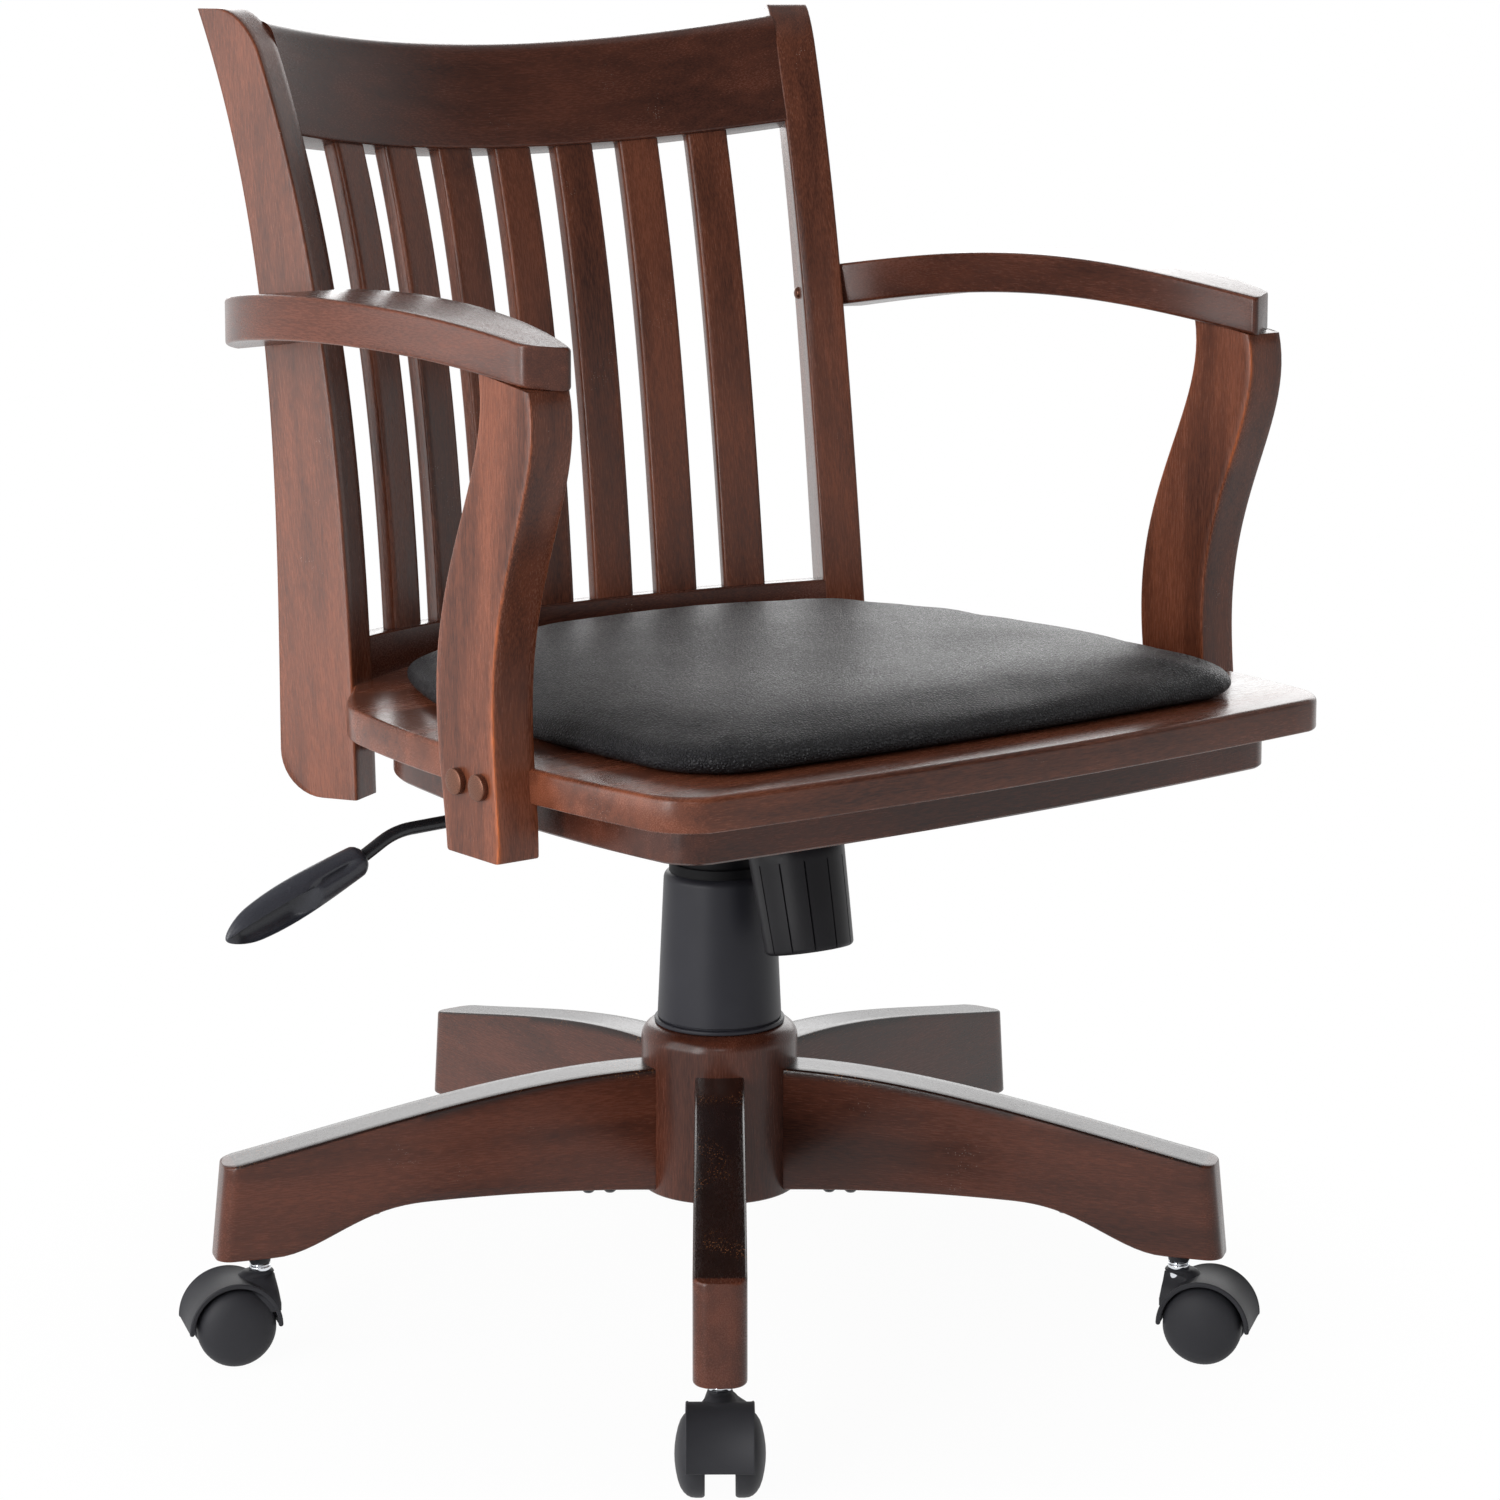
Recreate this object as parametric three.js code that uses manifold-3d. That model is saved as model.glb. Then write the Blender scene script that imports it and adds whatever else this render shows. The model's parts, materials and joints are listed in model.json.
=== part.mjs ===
// Bankers swivel chair: a wooden slatted back and bowed arms on a padded seat, carried by a gas lift
// on a five-legged wooden base with twin-wheel casters.
// Millimetres, +Z up, the sitter faces -Y, the floor is z = 0. "left" is the side of -X.
import * as THREE from "three";
import { mergeVertices } from "three/addons/utils/BufferGeometryUtils.js";
import Module from "manifold-3d";

const wasm = await Module();
wasm.setup();

// Fits and facets
const gap = 0.3; // between pieces that touch
const running = 0.5; // between pieces that move past each other
const overrun = 6; // how far a cutting body runs past what it cuts
const weld = 1e-4; // corners closer than this are one
const ease = 2; // broken edge of the timber
const fineSides = 32;
const midSides = 20;
const smallSides = 12;
const tinySides = 8;

// Column, measured from the middle of the chair's extent
const columnX = 9.6;
const columnY = -21.3;

// Base: hub and legs
const legCount = 5;
const firstLegAngle = THREE.MathUtils.degToRad(-127.5);
const hubR = 49;
const hubShoulder = 10;
const hubBottomZ = 80.2;
const hubTopZ = 185;
const legThick = 30.4;
const legTopZs = [161, 155.3, 140.4, 122.8]; // from the hub to the tip
const legRootZ = 83.4;
const legCrestZ = 90.4; // highest point of the underside
const legPadZ = 64.9; // flat pad over the caster
const legCrestR = 185;
const legCoveR = 190;
const legPadMargin = 7; // the flat pad starts this far inside the stem
const legTipMargin = 28; // and the leg ends this far outside it
const legTipLean = 5.7; // the end leans in towards its top
const legTipRound = 9.4;
const coveSkew = 1.3;
const crestStationShares = [0.33, 0.66]; // of the way from the hub to the crest of the underside

// Base: steel spider let into the underside
const spiderRingR = 38;
const spiderThick = 3.2;
const strapWidth = 20;
const strapEndR = 207;
const strapScrewRs = [67, 198];
const strapScrewR = 5;
const strapScrewRise = 2.6;

// Casters
const casterR = 294; // of the stems round the column
const legPadR = casterR - legPadMargin;
const legTipR = casterR + legTipMargin;
const stemR = 5.5;
const stemTopZ = 98.4;
const stemBottomZ = 36;
const collarR = 7.5;
const collarZ = 58.8;
const collarThick = 3.8;
const wheelR = 24;
const wheelTrail = 17.4;
const treadIn = 8.5;
const treadOut = 18.5;
const wheelDome = 25.4;
const wheelRound = 3;
const axleR = 3.5;
const webThick = 13;
const hoodR = 28.2;
const hoodWall = 2.2;
const hoodWidth = 38.4;
const hoodFront = THREE.MathUtils.degToRad(182);
const hoodRear = THREE.MathUtils.degToRad(-20);
const hoodLip = 5;
const bossR = 8;
const neckThick = 14;
const bossTopZ = 54.6;

// Lift
const standR = 25;
const standWall = 2.5;
const standBottomZ = 82.4;
const standTopZ = 264.4;
const floorPlate = 3;
const cylinderR = 14;
const cylinderBottomZ = 98.4;
const cylinderTopZ = 342.4;
const taperDraw = 1; // the taper's smaller radius at the top
const taperLength = 44;
const rodR = 5;
const rodTopZ = 246.4;
const rodBottomZ = 83;
const bearingR = 12;
const bearingThick = 4;
const pinR = 3.6;
const pinRise = 8;
const pinDepth = 16;

// Telescopic cover
const coverWall = 1.5;
const coverLowerR = 38.8;
const coverLowerTopR = 34.8;
const coverLowerTopZ = 281.5;
const coverFootR = 40.8;
const coverFootThick = 3;
const coverMiddleR = 32.6;
const coverMiddleTopR = 31.4;
const coverMiddleTopZ = 287.4;
const coverUpperR = 29.2;
const coverUpperTopR = 28.2;
const coverUpperBottomZ = 220.4;

// Tilt housing and its pivot
const housingHalf = 42;
const housingWall = 3;
const housingFloorZ = 330.4;
const housingRearY = 66;
const housingFrontY = -96;
const housingBendY = -25;
const housingTopZ = 377.4;
const housingRearTopZ = 366.4;
const housingStepY = -36; // the walls drop in front of this, under the eye's pin
const housingStepTopZ = 361.4;
const socketWall = 5;
const socketTopZ = 340.4;
const socketBottomZ = 310.4;
const pivotY = 36;
const pivotZ = 358.4;
const pivotR = 5;

// Tension knob, on an eye bolt that leans forward
const boltLean = THREE.MathUtils.degToRad(12.7);
const eyeY = -62.9;
const eyeZ = 368.4;
const eyePinR = 4;
const eyeSlack = 0.9; // the pin swings on an arc while the bolt slides straight
const eyeR = 9;
const eyeWide = 10;
const boltR = 4;
const boltLength = 116;
const knobTopR = 29.6;
const knobFootR = 27.2;
const knobHigh = 62;
const knobDrop = 123.5; // from the eye to the knob's foot, along the bolt
const knobBore = 23.5;
const knobFloor = 20;
const knobFlute = 1.1;
const knobFlutes = 12;
const washerR = 20;
const washerThick = 3;
const springWire = 1.7; // radius of the wire
const springR = 12;
const springTurns = 5;
const springSides = 5;

// Height lever
const leverY = 8;
const leverR = 3.5;
const leverInX = 8;
const leverZ = 354.4;
const leverRunX = -185;
const leverRunZ = 335.9;
const leverBendX = -236;
const gripRootX = -257;
const gripRootZ = 328.4;
const gripTipX = -349;
const gripTipZ = 287.9;
const gripHalfWides = [8, 9, 13, 6]; // from the collar to the tip
const gripHalfThicks = [8, 6.5, 5, 3];
const leverBiteShare = 0.3; // of the grip's length that the rod enters
const leverTurn = 8; // how far each side of a bend is rounded

// Seat plate
const plateThick = 3;
const plateHalfX = 92;
const plateFrontY = -92;
const plateRearY = 84;
const plateRound = 14;
const plateHoleR = 3.2;
const flangeLobe = 10;
const flangeWaistZ = 372.4;

// Seat board and the apron under it
const boardTopZ = 405.6;
const boardThick = 19.6;
const boardHalf = 260;
const boardWideY = -125; // where the board is widest
const sideBow = 31; // how far a side falls in over the side's reach
const sideReach = 229;
const boardFrontY = -297.3;
const frontBow = 14.1; // how far the front falls back at the half width
const frontRound = 35;
const rearCornerY = 30;
const rearMeetX = 203;
const rearMeetY = 100;
const boardRearY = 194;
const boardRearSideX = 196;
const boardRearSideY = 148;
const arcShare = 0.55; // pull of a curve's handles towards the corner that it rounds
const cornerShare = 0.3; // how fast a corner tightens as the outline draws in
const meetShare = 0.8;
const turnShares = [1 / 9, 1 / 2]; // how much of the rear turn's width goes by its first and second third
const apronThick = 24;
const apronInset = 27.5;
const apronWide = 44;
const edgeEase = 1.6;

// Cushion
const cushionSideInset = 37;
const cushionFrontInset = 28.5;
const cushionRound = 42;
const cushionCornerY = -20;
const cushionMeetX = 178;
const cushionMeetY = 92;
const cushionRearX = 150;
const cushionRearSideY = 112;
const cushionRearY = 142;
const cushionEdge = 21; // where the rolled edge ends
const cushionCrown = 35;
const cushionDraw = 5; // the sides draw in towards the board
const cushionRoll = 15; // plan width of the rolled edge

// Back posts, from foot to top
const postFootZ = 335.4;
const postTopZ = 813.9;
const postXs = [192.9, 190.6, 194.8, 209.2];
const postYs = [103.2, 117.8, 143.7, 193.2];
const postDepths = [52.5, 47, 38.6, 33];
const postWide = 27;
const postToe = THREE.MathUtils.degToRad(29.9);
const postFootRound = 28;
const postTopRound = 28;
const postTopSweep = 18;

// Rails and slats
const crestBottomZ = 736.6;
const crestTopZ = 809.6;
const crestSag = 47;
const crestThick = 23;
const crestRound = 11;
const lowerRailTopZ = 432;
const lowerRailSag = 52.4;
const lowerRailThick = 22;
const tenon = 9;
const slatCount = 7;
const slatPitch = 49.3; // at the crest rail
const slatWide = 28.5;
const slatThick = 12;
const slatSet = 3; // behind the rails' front faces

// Arms and the posts under them
const armFrontY = -205;
const armRearY = 150;
const armTopZs = [638.8, 655.6, 639.4];
const armThicks = [23.1, 27.8];
const armEase = 3;
const armTipShare = 0.02; // of the arm's length, over which its end is broken
const armPostThick = 27.7;
const armPostBite = 6.1; // let into the board's edge
const armPostOuter = boardHalf - armPostBite + armPostThick;
const armPostFootZ = 353.6;
const armPostFronts = [-169.3, -164.9, -171.0, -193.4, -200.9]; // from foot to top
const armPostRears = [-118.5, -109.7, -115.9, -141.3, -153.2];
const armPostRound = 9;
const armOverhangs = [-0.9, 14.4, 53.4]; // of the outer curve's handles past the arm post
const armReturns = [1.9, -29.9, 8.1]; // of the inner curve's handles past its inner face
const armOuterYs = [-192, -60, 70, 160];
const armInnerYs = [-206, -100, 85, 146];
const armRearXs = [54.1, 7.1]; // where the curves end, past the back post's foot
const armBoltR = 3;
const armBoltHeadR = 7.5;
const armBoltRise = 4;
const armBoltEase = 1.2;
const armBoltBite = 24;
const armBoltZ = 396;
const armBoltYs = [-153.2, -131.2];

// Finishes
const wood = new THREE.MeshStandardMaterial({ color: 0x3a1a10, roughness: 0.35, metalness: 0 });
const vinyl = new THREE.MeshStandardMaterial({ color: 0x101113, roughness: 0.45, metalness: 0 });
const cover = new THREE.MeshStandardMaterial({ color: 0x24272b, roughness: 0.5, metalness: 0 });
const plastic = new THREE.MeshStandardMaterial({ color: 0x141518, roughness: 0.4, metalness: 0 });
const blackSteel = new THREE.MeshStandardMaterial({ color: 0x1a1b1d, roughness: 0.45, metalness: 0.6 });
const chrome = new THREE.MeshStandardMaterial({ color: 0xd5d8dc, roughness: 0.12, metalness: 1 });
const steel = new THREE.MeshStandardMaterial({ color: 0x8b8e93, roughness: 0.35, metalness: 1 });
const bronze = new THREE.MeshStandardMaterial({ color: 0x4a2a1c, roughness: 0.35, metalness: 0.7 });

// Shapes and solids

// Swaps two corners of each triangle, which turns a surface inside out
function reversed(geometry) {
  const index = geometry.index.array;
  for (let i = 0; i < index.length; i += 3) {
    [index[i + 1], index[i + 2]] = [index[i + 2], index[i + 1]];
  }
  return geometry;
}

function signedVolume(geometry) {
  const position = geometry.attributes.position;
  const index = geometry.index.array;
  const [a, b, c] = [new THREE.Vector3(), new THREE.Vector3(), new THREE.Vector3()];
  let volume = 0;
  for (let i = 0; i < index.length; i += 3) {
    a.fromBufferAttribute(position, index[i]);
    b.fromBufferAttribute(position, index[i + 1]);
    c.fromBufferAttribute(position, index[i + 2]);
    volume += a.dot(b.cross(c)) / 6;
  }
  return volume;
}

// One closed skin of welded corners, with its faces pointing out
function closed(geometry) {
  const plain = geometry.clone();
  plain.deleteAttribute("normal");
  plain.deleteAttribute("uv");
  const welded = mergeVertices(plain, weld);
  const corners = welded.index.array;
  const kept = [];
  for (let i = 0; i < corners.length; i += 3) {
    const [a, b, c] = corners.subarray(i, i + 3);
    if (a !== b && b !== c && c !== a) kept.push(a, b, c);
  }
  welded.setIndex(kept);
  return signedVolume(welded) < 0 ? reversed(welded) : welded;
}

function solidOf(geometry) {
  const skin = closed(geometry);
  const vertProperties = new Float32Array(skin.attributes.position.array);
  const triVerts = new Uint32Array(skin.index.array);
  return new wasm.Manifold(new wasm.Mesh({ numProp: 3, vertProperties, triVerts }));
}

function geometryOf(solid) {
  const mesh = solid.getMesh();
  const geometry = new THREE.BufferGeometry();
  geometry.setAttribute("position", new THREE.BufferAttribute(mesh.vertProperties, 3));
  geometry.setIndex(new THREE.BufferAttribute(mesh.triVerts, 1));
  return geometry;
}

const cut = (body, ...tools) =>
  geometryOf(tools.reduce((solid, tool) => solid.subtract(solidOf(tool)), solidOf(body)));

const join = (...bodies) =>
  geometryOf(bodies.map(solidOf).reduce((solid, next) => solid.add(next)));

const mirrored = (geometry) => reversed(closed(geometry).scale(-1, 1, 1));

// A turned piece round +Z from [radius, height] pairs
function turned(profile, sides) {
  const points = profile.map(([r, z]) => new THREE.Vector2(r, z));
  return closed(new THREE.LatheGeometry(points, sides).rotateX(Math.PI / 2));
}

const rod = (r, z0, z1, sides) => turned([[0, z0], [r, z0], [r, z1], [0, z1]], sides);

const ring = (inner, outer, z0, z1, sides) =>
  turned([[inner, z0], [outer, z0], [outer, z1], [inner, z1], [inner, z0]], sides);

// An outline of [x, y] pairs raised along +Z from z0 to z1, its edges broken by a bevel
function raised(outline, z0, z1, bevel = 0, holes = []) {
  const shape = new THREE.Shape(outline.map(([x, y]) => new THREE.Vector2(x, y)));
  shape.holes = holes.map((hole) => new THREE.Path(hole.map(([x, y]) => new THREE.Vector2(x, y))));
  const options = {
    depth: z1 - z0 - 2 * bevel,
    bevelEnabled: bevel > 0,
    bevelThickness: bevel,
    bevelSize: bevel,
    bevelOffset: -bevel,
    bevelSegments: 1,
  };
  return closed(new THREE.ExtrudeGeometry(shape, options).translate(0, 0, z0 + bevel));
}

// The same for a side view in [y, z], raised along +X
function acrossX(outline, x0, x1, bevel = 0) {
  const [x, y, z] = [new THREE.Vector3(1, 0, 0), new THREE.Vector3(0, 1, 0), new THREE.Vector3(0, 0, 1)];
  return raised(outline, x0, x1, bevel).applyMatrix4(new THREE.Matrix4().makeBasis(y, z, x));
}

// A skin over rows of points, with flat ends
function loft(rows) {
  const n = rows[0].length;
  const last = (rows.length - 1) * n;
  const index = [];
  for (let i = 0; i < last; i += n) {
    for (let j = 0; j < n; j++) {
      const k = (j + 1) % n;
      index.push(i + j, i + k, i + n + k, i + j, i + n + k, i + n + j);
    }
  }
  for (let j = 1; j + 1 < n; j++) index.push(0, j + 1, j, last, last + j, last + j + 1);
  return closed(new THREE.BufferGeometry().setFromPoints(rows.flat()).setIndex(index));
}

// A rectangle with broken corners round a middle, on two directions
function easedRect(middle, across, up, width, height, corner) {
  const [w, h] = [width / 2, height / 2];
  const corners = [
    [w - corner, -h],
    [w, corner - h],
    [w, h - corner],
    [w - corner, h],
    [corner - w, h],
    [-w, h - corner],
    [-w, corner - h],
    [corner - w, -h],
  ];
  return corners.map(([a, b]) => middle.clone().addScaledVector(across, a).addScaledVector(up, b));
}

const evenly = (count) => Array.from({ length: count + 1 }, (_, i) => i / count);

const mix = THREE.MathUtils.lerp;

// The smooth curve through evenly spaced values
function through(values, share) {
  const last = values.length - 1;
  const weight = (i) =>
    values.reduce((product, _, j) => (j === i ? product : (product * (share * last - j)) / (i - j)), 1);
  return values.reduce((sum, value, i) => sum + value * weight(i), 0);
}

// How far a quarter round of radius r has left its tangent, a distance in from where it starts
const roundOff = (r, into) => r - Math.sqrt(Math.max(0, r * r - into * into));

const circle = (r, sides, x = 0, y = 0) =>
  evenly(sides)
    .slice(0, sides)
    .map((t) => [x + r * Math.cos(2 * Math.PI * t), y + r * Math.sin(2 * Math.PI * t)]);

function mesh(name, geometry, material) {
  const flat = closed(geometry).toNonIndexed();
  flat.computeVertexNormals();
  const piece = new THREE.Mesh(flat, material);
  piece.name = name;
  return piece;
}

const chair = new THREE.Group();
chair.position.set(columnX, columnY, 0);

// Legs, each along +X before it is turned to its place

const legTop = (r) => through(legTopZs, (r - hubR) / (legTipR - hubR));

function legUnder(r) {
  if (r < legCrestR) {
    const back = (legCrestR - r) / (legCrestR - hubR);
    return legCrestZ - (legCrestZ - legRootZ) * back * back;
  }
  const run = THREE.MathUtils.clamp((r - legCoveR) / (legPadR - legCoveR), 0, 1) ** coveSkew;
  return mix(legPadZ, legCrestZ, (1 + Math.cos(Math.PI * run)) / 2);
}

function legSection(r) {
  const into = Math.max(0, r - (legTipR - legTipRound));
  const half = legThick / 2 - roundOff(legTipRound, into);
  const [low, high] = [legUnder(r), legTop(r)];
  const lean = (z) => r - (((z - legPadZ) / (legTop(legTipR) - legPadZ)) * legTipLean * r) / legTipR;
  const middle = new THREE.Vector3(0, 0, (low + high) / 2);
  const [across, up] = [new THREE.Vector3(0, 1, 0), new THREE.Vector3(0, 0, 1)];
  return easedRect(middle, across, up, 2 * half, high - low, ease).map((p) => p.setX(lean(p.z)));
}

const hubProfile = (grow) => [
  [0, hubBottomZ - grow],
  [hubR - ease + grow, hubBottomZ - grow],
  [hubR + grow, hubBottomZ + ease],
  [hubR + grow, hubTopZ - hubShoulder],
  [hubR + grow - hubShoulder * (1 - Math.SQRT1_2), hubTopZ - hubShoulder * (1 - Math.SQRT1_2)],
  [hubR + grow - hubShoulder, hubTopZ + grow],
  [0, hubTopZ + grow],
];

// The strap follows the underside of a leg and runs on under the hub
function strapRow(r, grow) {
  const low = r < hubR ? mix(hubBottomZ, legRootZ, Math.max(0, (r - standR) / (hubR - standR))) : legUnder(r);
  const middle = new THREE.Vector3(r, 0, low + spiderThick / 2);
  const [across, up] = [new THREE.Vector3(0, 1, 0), new THREE.Vector3(0, 0, 1)];
  return easedRect(middle, across, up, strapWidth + 2 * grow, spiderThick + 2 * grow, grow);
}

function strap(grow) {
  const reach = strapEndR + grow;
  const rows = evenly(4).map((t) => strapRow(mix(spiderRingR - overrun, reach, t), grow));
  return loft(rows);
}

function spider(grow) {
  const top = hubBottomZ + spiderThick + grow;
  const parts = [ring(standR + running, spiderRingR + grow, hubBottomZ - grow, top, midSides)];
  for (let i = 0; i < legCount; i++) {
    parts.push(strap(grow).rotateZ(legAngle(i)));
  }
  return join(...parts);
}

function legAngle(i) {
  return firstLegAngle + (i * 2 * Math.PI) / legCount;
}

function screwHead(r) {
  const z = legUnder(r);
  const profile = [
    [0, z - strapScrewRise],
    [strapScrewR * Math.SQRT1_2, z - strapScrewRise * Math.SQRT1_2],
    [strapScrewR, z + spiderThick / 2],
    [0, z + spiderThick / 2],
  ];
  return turned(profile, tinySides).translate(r, 0, 0);
}

function addBase() {
  const hubBore = rod(standR + gap, hubBottomZ - overrun, hubTopZ + overrun, fineSides);
  chair.add(mesh("hub", cut(turned(hubProfile(0), fineSides), hubBore, spider(gap)), wood));

  const stations = [hubR - overrun, ...crestStationShares.map((t) => mix(hubR, legCrestR, t)), legCrestR];
  stations.push(...evenly(6).slice(1).map((t) => mix(legCoveR, legPadR, t)), legTipR - legTipRound);
  stations.push(...evenly(3).slice(1).map((t) => legTipR - legTipRound * (1 - Math.sin((t * Math.PI) / 2))));
  const hubRoom = turned(hubProfile(gap), fineSides);
  const socket = rod(stemR + running, legPadZ - overrun, stemTopZ + gap, smallSides).translate(casterR, 0, 0);
  const leg = cut(loft(stations.map(legSection)), hubRoom, strap(gap), socket);
  const screws = strapScrewRs.map(screwHead);
  const base = [spider(0)];
  for (let i = 0; i < legCount; i++) {
    const piece = mesh("leg_" + (i + 1), leg, wood);
    piece.rotation.z = legAngle(i);
    chair.add(piece);
    base.push(...screws.map((screw) => screw.clone().rotateZ(legAngle(i))));
  }
  chair.add(mesh("base_spider", join(...base), blackSteel));
}

// Casters, each under its stem with the wheel trailing along +X

function casterStem() {
  const profile = [
    [0, stemBottomZ],
    [stemR, stemBottomZ],
    [stemR, collarZ - collarThick],
    [collarR, collarZ - collarThick],
    [collarR, collarZ],
    [stemR, collarZ],
    [stemR, stemTopZ - ease],
    [stemR - ease, stemTopZ],
    [0, stemTopZ],
  ];
  return turned(profile, smallSides);
}

// The tread's facets touch the floor, so its corners stand a little further out
function casterWheels() {
  const tread = wheelR / Math.cos(Math.PI / midSides);
  const half = [
    [axleR, treadIn],
    [tread, treadIn],
    [tread, treadOut],
    [tread - wheelRound, treadOut + wheelRound],
    [tread / 2, wheelDome - ease / 2],
    [0, wheelDome],
  ];
  const profile = [...half.map(([r, y]) => [r, -y]).reverse(), ...half];
  const facing = Math.PI / midSides;
  return turned(profile, midSides).rotateZ(facing).rotateX(Math.PI / 2).translate(wheelTrail, 0, wheelR);
}

// A band round the wheel between two radii, hanging down a little behind it
function hoodBand(inner, outer, width) {
  const steps = evenly(8).map((t) => mix(hoodRear, hoodFront, t));
  const at = (r, a) => [wheelTrail + r * Math.cos(a), wheelR + r * Math.sin(a)];
  const outline = [...steps.map((a) => at(outer, a)), ...steps.reverse().map((a) => at(inner, a))];
  return acrossY(outline, width);
}

// A side view in [x, z] with a width along Y, centred
function acrossY(outline, width) {
  return raised(outline, -width / 2, width / 2).rotateX(Math.PI / 2);
}

function casterHood() {
  const web = acrossY(circle(hoodR - hoodWall / 2, midSides, wheelTrail, wheelR), webThick);
  const below = acrossY(
    [
      [-hoodR, -overrun],
      [wheelTrail + hoodR + overrun, -overrun],
      [wheelTrail + hoodR + overrun, wheelR - hoodLip],
      [wheelTrail + axleR + hoodWall, wheelR - axleR - hoodWall],
      [wheelTrail - axleR - hoodWall, wheelR - axleR - hoodWall],
      [-hoodR, wheelR],
    ],
    webThick + overrun,
  );
  const boss = rod(bossR, wheelR, bossTopZ, smallSides);
  const bandR = hoodR - hoodWall / 2;
  const neck = acrossY(
    [
      [-bossR, bossTopZ - ease],
      [bossR, bossTopZ - ease],
      [wheelTrail, wheelR + bandR],
      [wheelTrail, wheelR],
      [wheelTrail - bandR, wheelR],
    ],
    neckThick,
  );
  const band = hoodBand(hoodR - hoodWall, hoodR, hoodWidth);
  const bore = rod(stemR + gap, stemBottomZ - gap, bossTopZ + overrun, smallSides);
  const axleHole = rod(axleR + running, -webThick, webThick, smallSides)
    .rotateX(Math.PI / 2)
    .translate(wheelTrail, 0, wheelR);
  return cut(join(cut(web, below), neck, boss, band), bore, axleHole);
}

function addCasters() {
  const [stem, hood, wheels] = [casterStem(), casterHood(), casterWheels()];
  for (let i = 0; i < legCount; i++) {
    const caster = new THREE.Group();
    caster.rotation.z = legAngle(i);
    caster.position.set(casterR * Math.cos(legAngle(i)), casterR * Math.sin(legAngle(i)), 0);
    caster.add(mesh("caster_stem_" + (i + 1), stem, chrome));
    caster.add(mesh("caster_hood_" + (i + 1), hood, plastic));
    caster.add(mesh("caster_wheels_" + (i + 1), wheels, plastic));
    chair.add(caster);
  }
}

// Lift: a stand tube in the hub, the gas cylinder on its piston rod, and the cover's three stages

function standTube() {
  const inner = standR - standWall;
  const guide = cylinderR + running;
  const floorHole = rodR + gap;
  return turned(
    [
      [floorHole, standBottomZ],
      [standR - ease, standBottomZ],
      [standR, standBottomZ + ease],
      [standR, standTopZ],
      [guide, standTopZ],
      [guide, standTopZ - 2 * standWall],
      [inner, standTopZ - 4 * standWall],
      [inner, standBottomZ + floorPlate],
      [floorHole, standBottomZ + floorPlate],
      [floorHole, standBottomZ],
    ],
    fineSides,
  );
}

function pistonRod() {
  const seat = standBottomZ + floorPlate + gap;
  return turned(
    [
      [0, rodBottomZ],
      [rodR, rodBottomZ],
      [rodR, seat],
      [bearingR, seat],
      [bearingR, seat + bearingThick],
      [rodR, seat + bearingThick],
      [rodR, rodTopZ],
      [0, rodTopZ],
    ],
    smallSides,
  );
}

function gasCylinder() {
  const pinBore = pinR + gap;
  const top = cylinderTopZ;
  return turned(
    [
      [0, cylinderBottomZ],
      [cylinderR - ease, cylinderBottomZ],
      [cylinderR, cylinderBottomZ + ease],
      [cylinderR, top - taperLength],
      [cylinderR - taperDraw, top],
      [pinBore, top],
      [pinBore, top - pinDepth],
      [0, top - pinDepth],
    ],
    midSides,
  );
}

// A cover stage: a thin drawn-in sleeve, open at both ends
function sleeve(r0, r1, z0, z1) {
  const profile = [[r0, z0], [r1, z1], [r1 - coverWall, z1], [r0 - coverWall, z0], [r0, z0]];
  return turned(profile, fineSides);
}

function addLift() {
  chair.add(mesh("column_tube", standTube(), blackSteel));
  chair.add(mesh("piston_rod", pistonRod(), chrome));
  const rodBore = rod(rodR + gap, cylinderBottomZ - overrun, rodTopZ + ease, smallSides);
  chair.add(mesh("gas_cylinder", cut(gasCylinder(), rodBore), chrome));
  const pinBottomZ = cylinderTopZ - pinDepth / 2;
  chair.add(mesh("valve_pin", rod(pinR, pinBottomZ, cylinderTopZ + pinRise, smallSides), steel));

  const foot = hubTopZ + gap;
  const lower = join(
    sleeve(coverLowerR, coverLowerTopR, foot, coverLowerTopZ),
    ring(coverLowerR - coverWall, coverFootR, foot, foot + coverFootThick, fineSides),
  );
  chair.add(mesh("cover_lower", lower, cover));
  const middle = sleeve(coverMiddleR, coverMiddleTopR, foot, coverMiddleTopZ);
  chair.add(mesh("cover_middle", middle, cover));
  const upper = sleeve(coverUpperR, coverUpperTopR, coverUpperBottomZ, housingFloorZ - gap);
  chair.add(mesh("cover_upper", upper, cover));
}

// Tilt housing: an open steel tray whose front floor rises square to the tension bolt

const floorRise = Math.tan(boltLean) * (housingBendY - housingFrontY);

function housingSide(inset) {
  const up = inset > 0 ? overrun : 0;
  return [
    [housingRearY - inset, housingFloorZ + inset],
    [housingRearY - inset, housingRearTopZ + up],
    [pivotY - pivotR, housingTopZ + up],
    [housingStepY, housingTopZ + up],
    [housingStepY - housingWall, housingStepTopZ + up],
    [housingFrontY + inset, housingStepTopZ + up],
    [housingFrontY + inset, housingFloorZ + floorRise + inset],
    [housingBendY, housingFloorZ + inset],
  ];
}

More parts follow.
